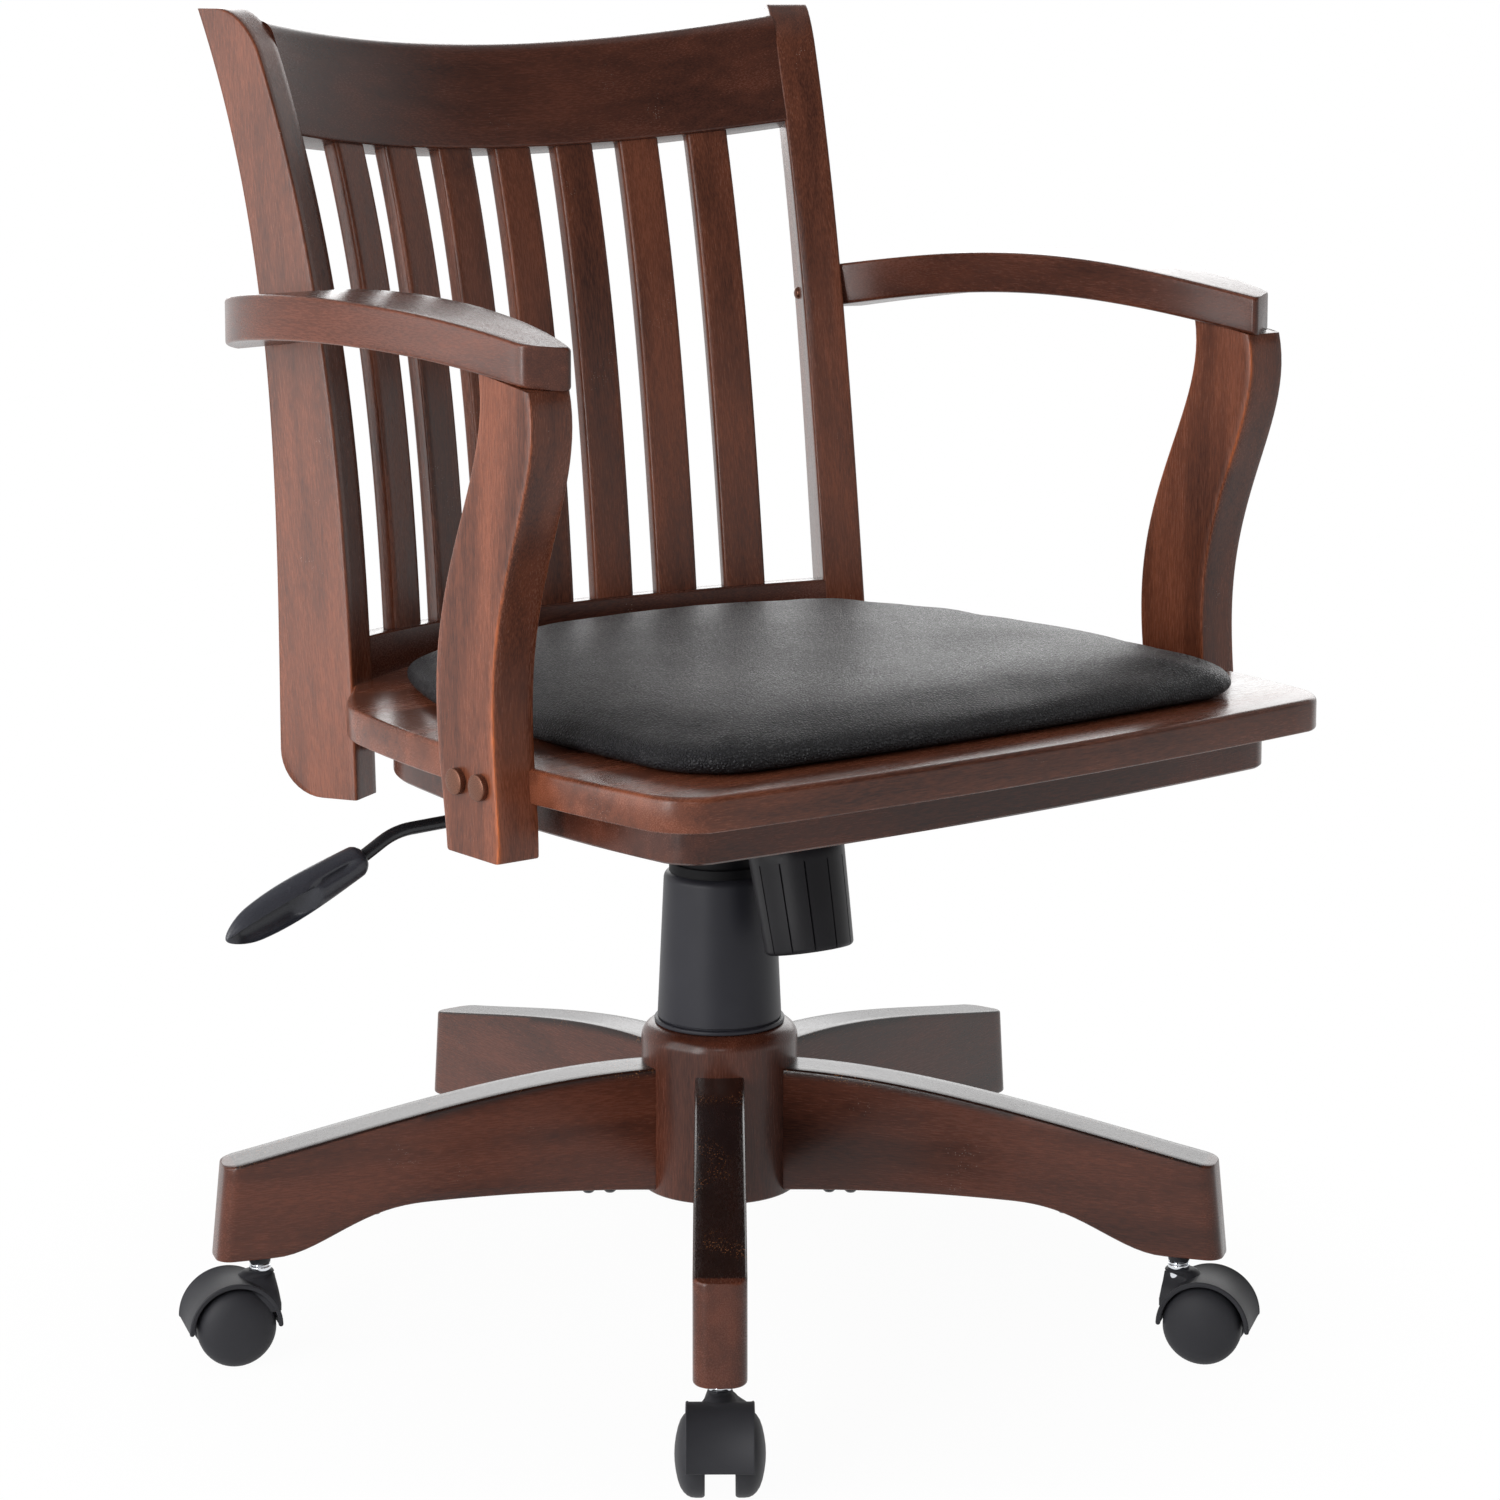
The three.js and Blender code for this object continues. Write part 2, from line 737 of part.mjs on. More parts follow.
function tiltHousing() {
  const outer = acrossX(housingSide(0), -housingHalf, housingHalf);
  const inner = acrossX(housingSide(housingWall), housingWall - housingHalf, housingHalf - housingWall);
  const socket = rod(cylinderR + socketWall, socketBottomZ, socketTopZ, midSides);
  const bore = turned(
    [
      [0, socketBottomZ - overrun],
      [cylinderR + gap, socketBottomZ - overrun],
      [cylinderR + gap, cylinderTopZ - taperLength],
      [cylinderR + gap - taperDraw, cylinderTopZ],
      [0, cylinderTopZ],
    ],
    midSides,
  );
  const axle = rod(pivotR + gap, -housingHalf - overrun, housingHalf + overrun, smallSides)
    .rotateY(Math.PI / 2)
    .translate(0, pivotY, pivotZ);
  const fulcrum = rod(leverR + running, -housingHalf - overrun, 0, smallSides)
    .rotateY(Math.PI / 2)
    .translate(0, leverY, leverZ);
  const boltHole = alongBolt(rod(boltR + running, -boltLength, 0, smallSides));
  return cut(join(cut(outer, inner), socket), bore, axle, fulcrum, boltHole);
}

// Puts a piece drawn round +Z, with the eye's pin at its origin, on the bolt's leaning axis
function alongBolt(geometry) {
  return geometry.rotateX(-boltLean).translate(0, eyeY, eyeZ);
}

function eyeBolt() {
  const shank = rod(boltR, -boltLength, 0, smallSides);
  const eye = rod(eyeR, -eyeWide / 2, eyeWide / 2, smallSides).rotateY(Math.PI / 2);
  const hole = rod(eyePinR + eyeSlack, -eyeWide, eyeWide, smallSides).rotateY(Math.PI / 2);
  return cut(join(shank, eye), hole);
}

// The knob's foot is at knobDrop under the eye, and its bore holds the washer and the spring's end
function tensionKnob() {
  const outline = (r) =>
    circle(r, 4 * knobFlutes).map(([x, y], i) => {
      const share = i % 4 < 2 ? 1 : 1 - knobFlute / r;
      return new THREE.Vector3(x * share, y * share, 0);
    });
  const row = (r, z) => outline(r).map((p) => p.setZ(z));
  const body = loft([
    row(knobFootR - ease, 0),
    row(knobFootR, ease),
    row(knobTopR, knobHigh - ease),
    row(knobTopR - ease, knobHigh),
  ]);
  const bore = rod(knobBore, knobFloor, knobHigh + overrun, midSides);
  const thread = rod(boltR + gap, knobDrop - boltLength - overrun, knobHigh, smallSides);
  return cut(body, bore, thread).translate(0, 0, -knobDrop);
}

const washerTop = knobFloor + gap + washerThick - knobDrop;

// How far under the eye's pin the bolt's axis leaves the housing floor
const floorDrop =
  (eyeZ - housingFloorZ - Math.tan(boltLean) * (housingBendY - eyeY)) * Math.cos(boltLean);

// The spring winds up from the washer to the housing floor as one unbroken wire
function tensionSpring() {
  const foot = washerTop + springWire + gap;
  const head = -floorDrop - springWire - gap;
  const steps = springTurns * tinySides;
  const centre = (t) => {
    const angle = t * springTurns * 2 * Math.PI;
    return new THREE.Vector3(springR * Math.cos(angle), springR * Math.sin(angle), mix(foot, head, t));
  };
  const rows = evenly(steps).map((t) => {
    const angle = t * springTurns * 2 * Math.PI;
    const out = new THREE.Vector3(Math.cos(angle), Math.sin(angle), 0);
    const middle = centre(t);
    const up = new THREE.Vector3(0, 0, 1);
    return circle(springWire, springSides).map(([a, b]) =>
      middle.clone().addScaledVector(out, a).addScaledVector(up, b),
    );
  });
  const pitch = (head - foot) / springTurns;
  console.log("spring: least gap between turns " + (pitch - 2 * springWire).toFixed(2) + " mm");
  return loft(rows);
}

function heightLever() {
  const path = new THREE.CurvePath();
  const points = [
    [leverInX, leverZ],
    [-housingHalf - overrun, leverZ],
    [leverRunX, leverRunZ],
    [leverBendX, leverRunZ],
    [gripRootX, gripRootZ],
    [mix(gripRootX, gripTipX, leverBiteShare), mix(gripRootZ, gripTipZ, leverBiteShare)],
  ].map(([x, z]) => new THREE.Vector3(x, leverY, z));
  const turns = [0, leverTurn, leverTurn, leverTurn, leverTurn, 0];
  for (let i = 0; i + 1 < points.length; i++) {
    const along = points[i + 1].clone().sub(points[i]).normalize();
    const from = points[i].clone().addScaledVector(along, turns[i]);
    const to = points[i + 1].clone().addScaledVector(along, -turns[i + 1]);
    path.add(new THREE.LineCurve3(from, to));
    if (turns[i + 1] > 0) {
      const next = points[i + 2].clone().sub(points[i + 1]).normalize();
      const out = points[i + 1].clone().addScaledVector(next, turns[i + 1]);
      path.add(new THREE.QuadraticBezierCurve3(to, points[i + 1], out));
    }
  }
  const rows = path.curves.flatMap((curve) => {
    const steps = curve.isLineCurve3 ? evenly(1) : evenly(2).slice(1, 2);
    return steps.map((t) => {
      const middle = curve.getPoint(t);
      const along = curve.getTangent(t);
      const across = new THREE.Vector3(0, 1, 0);
      const up = new THREE.Vector3().crossVectors(along, across);
      return circle(leverR, tinySides).map(([a, b]) =>
        middle.clone().addScaledVector(across, a).addScaledVector(up, b),
      );
    });
  });
  return loft(rows);
}

// The grip swells from a round collar into a thin blade that droops to its tip
function leverGrip() {
  const root = new THREE.Vector3(gripRootX, leverY, gripRootZ);
  const tip = new THREE.Vector3(gripTipX, leverY, gripTipZ);
  const along = tip.clone().sub(root).normalize();
  const across = new THREE.Vector3(0, 1, 0);
  const up = new THREE.Vector3().crossVectors(along, across);
  const rows = evenly(8).map((t) => {
    const [wide, thick] = [through(gripHalfWides, t), through(gripHalfThicks, t)];
    const middle = root.clone().lerp(tip, t);
    return circle(1, smallSides).map(([a, b]) =>
      middle.clone().addScaledVector(across, a * wide).addScaledVector(up, b * thick),
    );
  });
  const bite = rod(leverR + gap, -overrun, leverBiteShare * root.distanceTo(tip) + gap, tinySides);
  const facing = new THREE.Quaternion().setFromUnitVectors(new THREE.Vector3(0, 0, 1), along);
  bite.applyQuaternion(facing).translate(root.x, root.y, root.z);
  return cut(loft(rows), bite);
}

const flangeInner = housingHalf + running;
const flangeOuter = flangeInner + plateThick;

function pivotAxle() {
  const head = flangeOuter + running;
  const half = [
    [pivotR, head],
    [pivotR + ease, head],
    [pivotR + ease, head + ease],
    [0, head + ease],
  ];
  const profile = [...half.map(([r, x]) => [r, -x]).reverse(), ...half];
  return turned(profile, smallSides).rotateY(Math.PI / 2).translate(0, pivotY, pivotZ);
}

const plateTopZ = boardTopZ - boardThick - gap;

function seatPlate() {
  const [x, round] = [plateHalfX, plateRound];
  const corner = (cx, cy, start) =>
    evenly(3).map((t) => {
      const a = start + (t * Math.PI) / 2;
      return [cx + round * Math.cos(a), cy + round * Math.sin(a)];
    });
  const outline = [
    ...corner(x - round, plateRearY - round, 0),
    ...corner(round - x, plateRearY - round, Math.PI / 2),
    ...corner(round - x, plateFrontY + round, Math.PI),
    ...corner(x - round, plateFrontY + round, 1.5 * Math.PI),
  ];
  const holeYs = [plateFrontY + round, plateRearY - round];
  const holes = [-1, 1].flatMap((side) =>
    holeYs.map((y) => circle(plateHoleR, tinySides, side * (x - round), y)),
  );
  const bottomZ = plateTopZ - plateThick;
  const plate = raised(outline, bottomZ, plateTopZ, 0, holes);
  const lobe = flangeLobe;
  const side = [
    [eyeY - 2 * lobe, plateTopZ - plateThick / 2],
    [eyeY - lobe, eyeZ - lobe],
    [eyeY + lobe, eyeZ - lobe],
    [eyeY + 2 * lobe, flangeWaistZ],
    [pivotY - 2 * lobe, flangeWaistZ],
    [pivotY - lobe, pivotZ - lobe],
    [pivotY + lobe, pivotZ - lobe],
    [pivotY + 2 * lobe, plateTopZ - plateThick / 2],
  ];
  const pin = rod(eyePinR, -flangeOuter, flangeOuter, smallSides)
    .rotateY(Math.PI / 2)
    .translate(0, eyeY, eyeZ);
  const pivot = rod(pivotR + gap, -flangeOuter - overrun, flangeOuter + overrun, smallSides)
    .rotateY(Math.PI / 2)
    .translate(0, pivotY, pivotZ);
  const flanges = [acrossX(side, -flangeOuter, -flangeInner), acrossX(side, flangeInner, flangeOuter)];
  return cut(join(plate, ...flanges, pin), pivot);
}

function addMechanism() {
  chair.add(mesh("tilt_housing", tiltHousing(), blackSteel));
  chair.add(mesh("pivot_axle", pivotAxle(), steel));
  chair.add(mesh("lever_rod", heightLever(), blackSteel));
  chair.add(mesh("lever_grip", leverGrip(), plastic));
  chair.add(mesh("seat_plate", seatPlate(), blackSteel));
  const leaning = new THREE.Group();
  leaning.position.set(0, eyeY, eyeZ);
  leaning.rotation.x = -boltLean;
  const washer = ring(boltR + gap, washerR, washerTop - washerThick, washerTop, midSides);
  leaning.add(mesh("tension_bolt", eyeBolt(), steel));
  leaning.add(mesh("tension_spring", tensionSpring(), steel));
  leaning.add(mesh("spring_washer", washer, steel));
  leaning.add(mesh("tension_knob", tensionKnob(), plastic));
  chair.add(leaning);
}

// Seat: the right half of an outline runs from the front's middle round to the rear's middle

const seatSideX = (half, y) => half - sideBow * ((y - boardWideY) / sideReach) ** 2;

const seatFrontY = (front, x) => front + frontBow * (x / boardHalf) ** 2;

const bezier = (points, t) => {
  const [a, b, c, d] = points.map(([x, y]) => new THREE.Vector2(x, y));
  const at = new THREE.CubicBezierCurve(a, b, c, d).getPoint(t);
  return [at.x, at.y];
};

function seatOutline({ half, front, round, cornerY, meet, rearSide, rear }) {
  const sideStart = [seatSideX(half, front + round), front + round];
  const frontEnd = [half - round, seatFrontY(front, half - round)];
  const tip = [seatSideX(half, front), seatFrontY(front, half)];
  const pull = (from) => [mix(from[0], tip[0], arcShare), mix(from[1], tip[1], arcShare)];
  const corner = [frontEnd, pull(frontEnd), pull(sideStart), sideStart];
  const sideEnd = [seatSideX(half, cornerY), cornerY];
  const reach = meet[1] - cornerY;
  const turn = [
    sideEnd,
    [mix(sideEnd[0], meet[0], turnShares[0]), cornerY + reach / 3],
    [mix(sideEnd[0], meet[0], turnShares[1]), cornerY + (2 * reach) / 3],
    meet,
  ];
  const right = [
    ...evenly(4).map((t) => [t * frontEnd[0], seatFrontY(front, t * frontEnd[0])]),
    ...evenly(5).slice(1).map((t) => bezier(corner, t)),
    ...evenly(5).slice(1).map((t) => {
      const y = mix(sideStart[1], cornerY, t);
      return [seatSideX(half, y), y];
    }),
    ...evenly(4).slice(1).map((t) => bezier(turn, t)),
    ...evenly(5).map((t) => [rearSide[0] * (1 - t), mix(rearSide[1], rear, 1 - (1 - t) ** 2)]),
  ];
  const left = right.slice(1, -1).reverse().map(([x, y]) => [-x, y]);
  return [...right, ...left];
}

// The board's outline drawn in by an inset
const boardOutline = (inset) =>
  seatOutline({
    half: boardHalf - inset,
    front: boardFrontY + inset,
    round: Math.max(frontRound - cornerShare * inset, ease),
    cornerY: rearCornerY - inset / 2,
    meet: [rearMeetX - meetShare * inset, rearMeetY - inset / 2],
    rearSide: [boardRearSideX - inset, boardRearSideY - inset / 2],
    rear: boardRearY - inset,
  });

function seatBoard(posts, armPosts, bolts) {
  const board = raised(boardOutline(0), boardTopZ - boardThick, boardTopZ, edgeEase);
  return cut(board, ...posts, ...armPosts, ...bolts);
}

function seatApron(posts) {
  const topZ = boardTopZ - boardThick - gap;
  const hole = boardOutline(apronInset + apronWide);
  return cut(raised(boardOutline(apronInset), topZ - apronThick, topZ, 0, [hole]), ...posts);
}

const cushionOutline = (inset) =>
  seatOutline({
    half: boardHalf - cushionSideInset - inset,
    front: boardFrontY + cushionFrontInset + inset,
    round: cushionRound - cornerShare * inset,
    cornerY: cushionCornerY,
    meet: [cushionMeetX - inset, cushionMeetY - inset / 2],
    rearSide: [cushionRearX - inset, cushionRearSideY - inset],
    rear: cushionRearY - inset,
  });

// Rows climb from the drawn-in foot over the rolled edge, then close over the crown
function seatCushion() {
  const footZ = boardTopZ + gap;
  const row = (inset, z) => cushionOutline(inset).map(([x, y]) => new THREE.Vector3(x, y, footZ + z));
  const rolls = evenly(3).map((t) => {
    const a = (t * Math.PI) / 2;
    return row(cushionRoll * (1 - Math.cos(a)), mix(cushionEdge / 2, cushionEdge, Math.sin(a)));
  });
  const rim = rolls[rolls.length - 1];
  const middle = new THREE.Vector3(0, (boardFrontY + cushionRearY) / 2, footZ + cushionEdge);
  const crown = evenly(6)
    .slice(1, 6)
    .map((t) => {
      const rise = (cushionCrown - cushionEdge) * (1 - (1 - t) ** 2);
      return rim.map((p) => p.clone().lerp(middle, t).setZ(footZ + cushionEdge + rise));
    });
  return loft([row(cushionDraw, 0), row(cushionDraw / 3, cushionEdge / 4), ...rolls, ...crown]);
}

// Back posts, drawn for the right side: each section is turned by the toe-in

const postShare = (z) => (z - postFootZ) / (postTopZ - postFootZ);
const postX = (z) => through(postXs, postShare(z));
const postY = (z) => through(postYs, postShare(z));
const postAcross = new THREE.Vector3(Math.cos(postToe), -Math.sin(postToe), 0);
const postBack = new THREE.Vector3(Math.sin(postToe), Math.cos(postToe), 0);

function postRow(z, grow) {
  const footIn = roundOff(postFootRound, Math.max(0, postFootZ + postFootRound - z));
  const topIn = Math.max(0, z - (postTopZ - postTopRound)) / postTopRound;
  const front = postTopSweep * roundOff(1, Math.min(1, topIn)) - grow;
  const rear = through(postDepths, postShare(z)) - footIn + grow;
  const middle = new THREE.Vector3(postX(z), postY(z), z).addScaledVector(postBack, (front + rear) / 2);
  return easedRect(middle, postAcross, postBack, postWide + 2 * grow, rear - front, ease);
}

const postZs = (() => {
  const footZs = evenly(4).map((t) => postFootZ + postFootRound * (1 - Math.cos((t * Math.PI) / 2)));
  const topZs = evenly(4).map((t) => postTopZ - postTopRound * (1 - Math.sin((t * Math.PI) / 2)));
  const middleZs = evenly(8).slice(1, 8).map((t) => mix(footZs[4], topZs[0], t));
  return [...footZs, ...middleZs, ...topZs];
})();

const backPost = (grow) => loft(postZs.map((z) => postRow(z, grow)));

// A room that ends the rails square at a post's inner face, past the post's rounds
function railStop() {
  const deep = postDepths[0] + 2 * postTopSweep;
  const rows = [...postZs, postTopZ + overrun].map((z) => {
    const middle = new THREE.Vector3(postX(z), postY(z), z);
    middle.addScaledVector(postBack, deep / 2 - postTopSweep);
    return easedRect(middle, postAcross, postBack, postWide + 2 * gap, deep, ease);
  });
  return loft(rows);
}

// The bowed plane between the posts: s runs from -1 at the left post to 1 at the right one, and
// depth goes back from the rails' front faces
function backFrame(s, z, depth) {
  const span = postX(z) - (postWide / 2) * Math.cos(postToe);
  const ends = postY(z) + (postWide / 2) * Math.sin(postToe);
  const step = postTopRound;
  const lean = Math.atan((postY(z + step) - postY(z - step)) / (2 * step));
  const sag = mix(lowerRailSag, crestSag, (z - lowerRailTopZ) / (crestBottomZ - lowerRailTopZ));
  const down = new THREE.Vector3(0, Math.cos(lean), -Math.sin(lean));
  const back = new THREE.Vector3(2 * sag * s, 0, 0).addScaledVector(down, span).normalize();
  const across = new THREE.Vector3(span, 0, 0).addScaledVector(down, -2 * sag * s).normalize();
  const point = new THREE.Vector3(s * span, ends, z)
    .addScaledVector(down, sag * (1 - s * s))
    .addScaledVector(back, depth);
  return { point, across, back };
}

// A rail swept from post to post, its section given as [height, depth] pairs
function rail(section, steps) {
  const reach = 1 + tenon / postXs[0];
  const row = (s) => section.map(([z, depth]) => backFrame(s, z, depth).point);
  return loft(evenly(steps).map((t) => row(mix(-reach, reach, t))));
}

function crestRail(posts) {
  const half = crestThick / 2;
  const top = evenly(4).map((t) => [
    crestTopZ - crestRound * (1 - Math.sin(t * Math.PI)),
    half + half * Math.cos(t * Math.PI),
  ]);
  const section = [
    [crestBottomZ + ease, 0],
    [crestBottomZ, ease],
    [crestBottomZ, crestThick - ease],
    [crestBottomZ + ease, crestThick],
    ...top,
  ];
  return cut(rail(section, 20), ...posts);
}

function lowerRail(posts) {
  const low = boardTopZ - overrun;
  const section = [
    [low, 0],
    [low, lowerRailThick],
    [lowerRailTopZ - ease, lowerRailThick],
    [lowerRailTopZ, lowerRailThick - ease],
    [lowerRailTopZ, ease],
    [lowerRailTopZ - ease, 0],
  ];
  const floor = raised(
    [
      [-boardHalf, 0],
      [boardHalf, 0],
      [boardHalf, boardHalf],
      [-boardHalf, boardHalf],
    ],
    low - 4 * overrun,
    boardTopZ + gap,
  );
  return cut(rail(section, 20), floor, ...posts);
}

function slat(i) {
  const place = ((i - (slatCount - 1) / 2) * slatPitch) / postX(crestBottomZ);
  const rows = evenly(8).map((t) => {
    const z = mix(lowerRailTopZ + gap, crestBottomZ - gap, t);
    const { point, across, back } = backFrame(place, z, slatSet + slatThick / 2);
    return easedRect(point, across, back, slatWide, slatThick, ease);
  });
  return loft(rows);
}

// Arms, drawn for the right side

const armShare = (y) => (y - armFrontY) / (armRearY - armFrontY);
const armTop = (y) => through(armTopZs, armShare(y));
const armUnder = (y) => armTop(y) - mix(armThicks[0], armThicks[1], armShare(y));

const armCurve = (face, offsets, rear, ys) =>
  [...offsets.map((offset) => face + offset), postXs[0] + rear].map((x, i) => [x, ys[i]]);
const armOuter = armCurve(armPostOuter, armOverhangs, armRearXs[0], armOuterYs);
const armInner = armCurve(armPostOuter - armPostThick, armReturns, armRearXs[1], armInnerYs);

function arm(post) {
  const stations = [0, armTipShare, ...evenly(12).slice(1)];
  const rows = stations.map((t, i) => {
    const [outer, inner] = [bezier(armOuter, t), bezier(armInner, t)];
    const wide = Math.hypot(outer[0] - inner[0], outer[1] - inner[1]);
    const draw = i === 0 ? armEase : 0;
    const corner = (side, up, low) => {
      const share = side / wide;
      const x = mix(inner[0], outer[0], share);
      const y = mix(inner[1], outer[1], share);
      return new THREE.Vector3(x, y, low ? armUnder(y) + up + draw : armTop(y) - up - draw);
    };
    const [a, b] = [draw, wide - draw];
    return [
      corner(a + armEase, 0, true),
      corner(b - armEase, 0, true),
      corner(b, armEase, true),
      corner(b, armEase, false),
      corner(b - armEase, 0, false),
      corner(a + armEase, 0, false),
      corner(a, armEase, false),
      corner(a, armEase, true),
    ];
  });
  return cut(loft(rows), post);
}

function armPost(grow) {
  const edge = (values, side) =>
    evenly(8).map((t) => {
      const y = through(values, t) + side * grow;
      const top = armUnder(through(values, 1)) - gap;
      return [y, mix(armPostFootZ, top, t)];
    });
  const [front, rear] = [edge(armPostFronts, -1), edge(armPostRears, 1)];
  const foot = armPostFootZ;
  const round = armPostRound;
  const outline = [
    [front[0][0] + round, foot],
    [rear[0][0] - round, foot],
    [rear[0][0] - round * (1 - Math.SQRT1_2), foot + round * (1 - Math.SQRT1_2)],
    [rear[0][0], foot + round],
    ...rear.slice(1),
    ...front.slice(1).reverse(),
    [front[0][0], foot + round],
    [front[0][0] + round * (1 - Math.SQRT1_2), foot + round * (1 - Math.SQRT1_2)],
  ];
  const inner = armPostOuter - armPostThick;
  return acrossX(outline, inner - grow, armPostOuter + grow, grow > 0 ? 0 : ease);
}

// A capped bolt along +X from the board's edge to its head outside the arm post
function armBolt(y, grow) {
  const outer = armPostOuter;
  const profile = [
    [0, outer - armPostThick - armBoltBite - grow],
    [armBoltR + grow, outer - armPostThick - armBoltBite - grow],
    [armBoltR + grow, outer + gap],
    [armBoltHeadR, outer + gap],
    [armBoltHeadR, outer + armBoltRise - armBoltEase],
    [armBoltHeadR - armBoltEase, outer + armBoltRise],
    [0, outer + armBoltRise],
  ];
  return turned(profile, smallSides).rotateY(Math.PI / 2).translate(0, y, armBoltZ);
}

const both = (name, right, material) => {
  chair.add(mesh(name + "_right", right, material));
  chair.add(mesh(name + "_left", mirrored(right), material));
};

function addSeat() {
  const room = backPost(gap);
  const rooms = [room, mirrored(room)];
  const armRoom = armPost(gap);
  const bolts = armBoltYs.map((y) => armBolt(y, gap));
  const boardBolts = [...bolts, ...bolts.map(mirrored)];
  chair.add(mesh("seat_board", seatBoard(rooms, [armRoom, mirrored(armRoom)], boardBolts), wood));
  chair.add(mesh("seat_apron", seatApron(rooms), wood));
  chair.add(mesh("seat_cushion", seatCushion(), vinyl));
  both("back_post", backPost(0), wood);
  const stops = [railStop(), mirrored(railStop())];
  chair.add(mesh("crest_rail", crestRail(stops), wood));
  chair.add(mesh("lower_rail", lowerRail(stops), wood));
  for (let i = 0; i < slatCount; i++) chair.add(mesh("slat_" + (i + 1), slat(i), wood));
  both("arm", arm(room), wood);
  both("arm_post", cut(armPost(0), ...bolts), wood);
  armBoltYs.forEach((y, i) => both("arm_bolt_" + ["front", "rear"][i], armBolt(y, 0), bronze));
}

addBase();
addCasters();
addLift();
addMechanism();
addSeat();

export default chair;
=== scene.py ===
"""Bankers swivel chair: stained wood, grained vinyl, moulded plastic and steel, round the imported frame.

Shapes are drawn in millimetres from the column's foot, +Z up, with the sitter facing -Y, and turned into
metres in the frame's own place when they are shown.
"""

import json
import math
import random

import bmesh
import bpy
from bmesh.types import BMEdge, BMVert
from mathutils import Matrix, Vector


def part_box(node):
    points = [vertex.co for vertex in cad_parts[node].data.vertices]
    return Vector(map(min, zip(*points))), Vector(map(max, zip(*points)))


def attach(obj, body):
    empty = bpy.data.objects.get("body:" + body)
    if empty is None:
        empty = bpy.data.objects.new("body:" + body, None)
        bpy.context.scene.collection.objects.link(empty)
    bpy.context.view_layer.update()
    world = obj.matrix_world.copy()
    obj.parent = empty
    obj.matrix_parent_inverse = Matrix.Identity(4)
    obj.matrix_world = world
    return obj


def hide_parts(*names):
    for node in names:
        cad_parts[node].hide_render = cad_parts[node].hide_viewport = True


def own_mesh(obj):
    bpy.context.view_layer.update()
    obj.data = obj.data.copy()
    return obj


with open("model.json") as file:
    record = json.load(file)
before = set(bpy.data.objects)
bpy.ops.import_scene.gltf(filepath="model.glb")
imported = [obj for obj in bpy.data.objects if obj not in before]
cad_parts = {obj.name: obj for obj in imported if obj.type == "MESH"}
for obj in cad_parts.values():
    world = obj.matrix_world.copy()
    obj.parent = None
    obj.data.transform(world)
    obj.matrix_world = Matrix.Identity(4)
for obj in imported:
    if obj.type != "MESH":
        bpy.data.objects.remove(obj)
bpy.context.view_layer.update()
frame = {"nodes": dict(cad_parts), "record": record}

MM = 0.001
WELD = 0.001
SMOOTH = 34  # degrees: a sharper edge stays crisp
X, Y, Z = Vector((1, 0, 0)), Vector((0, 1, 0)), Vector((0, 0, 1))
PHOTO = 1500  # pixels along a side of the photograph
nodes = frame["nodes"]
record = frame["record"]
body_of = {node: body for body, held in record["behaviour"]["bodies"].items() for node in held}
slot_of = {row["node"]: row["material_slot"] for row in record["subparts"]}

hub_low, hub_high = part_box("hub")
column = (Vector(hub_low) + Vector(hub_high)) / 2
COLUMN_X, COLUMN_Y = column.x / MM, column.y / MM

# Camera, as fitted to the photograph
VIEW_AZIMUTH = math.radians(-37.828)
VIEW_ELEVATION = math.radians(7.825)
VIEW_FOCAL = 3884.5  # pixels
VIEW_CENTRE = (738.36, 500)  # pixels
VIEW_DISTANCE = 2369.9
VIEW_OFFSET = 11.88
VIEW_HEIGHT = 839.46

# Base
LEG_COUNT = 5
FIRST_LEG = math.radians(-127.5)
HUB_R = 49
HUB_SHOULDER = 10
HUB_BOTTOM = 80.2
HUB_TOP = 185
HUB_BORE = 26
LEG_THICK = 30.4
LEG_TOPS = (161, 155.3, 140.4, 122.8)
LEG_ROOT = 83.4
LEG_CREST = 90.4
LEG_PAD = 64.9
LEG_CREST_R = 185
LEG_COVE_R = 190
LEG_PAD_R = 287
LEG_TIP_R = 322
LEG_TIP_LEAN = 5.7
LEG_TIP_ROUND = 9.4
LEG_SINK = 6  # how far the root runs into the hub
COVE_SKEW = 1.3
LEG_SCREW_RS = (72, 86, 222)
SCREW_R = 4.2
SCREW_RISE = 5
ARRIS = 1.7  # rounded edge of the timber
JOINT = 0.3  # dark line between pieces that meet
WEAR_REACH = 4.5  # how far wear spreads on the flats beside an edge
WEAR_LEAST = 0.2  # a flat with less room than this has none
WEAR_SPREAD = 0.45  # wear that is left where the edge's round ends
WEAR = 0.3  # share of the full wear on most pieces
POST_WEAR = 0.8  # and on the arm posts

# Casters
CASTER_R = 294
STEM_R = 5.5
STEM_TOP = 98.4
STEM_BOTTOM = 36
COLLAR_R = 6.6
COLLAR_TOP = 58.8
COLLAR_FOOT = 54.2
BUSHING_R = 6.9
WHEEL_R = 24
WHEEL_TRAIL = 17.4
WHEEL_SECTION = (  # half of the wheel: how far out, radius
    (8.5, 22.9), (9.3, 23.7), (10.4, 24), (13.5, 24), (16, 23.7), (18.2, 22.7),
    (20.2, 20.9), (22, 18.2), (23.4, 14.4), (24.5, 9.6), (25.2, 4.6), (25.4, 0),
)
AXLE_R = 3.5
HOOD_X = 18.4
HOOD_R = 28.2
HOOD_WALL = 2.2
HOOD_WIDTH = 38.4
HOOD_BEAD = 0.35
HOOD_LIP = math.radians(181)
HOOD_END = math.radians(-2)
WEB_HALF = 6.3
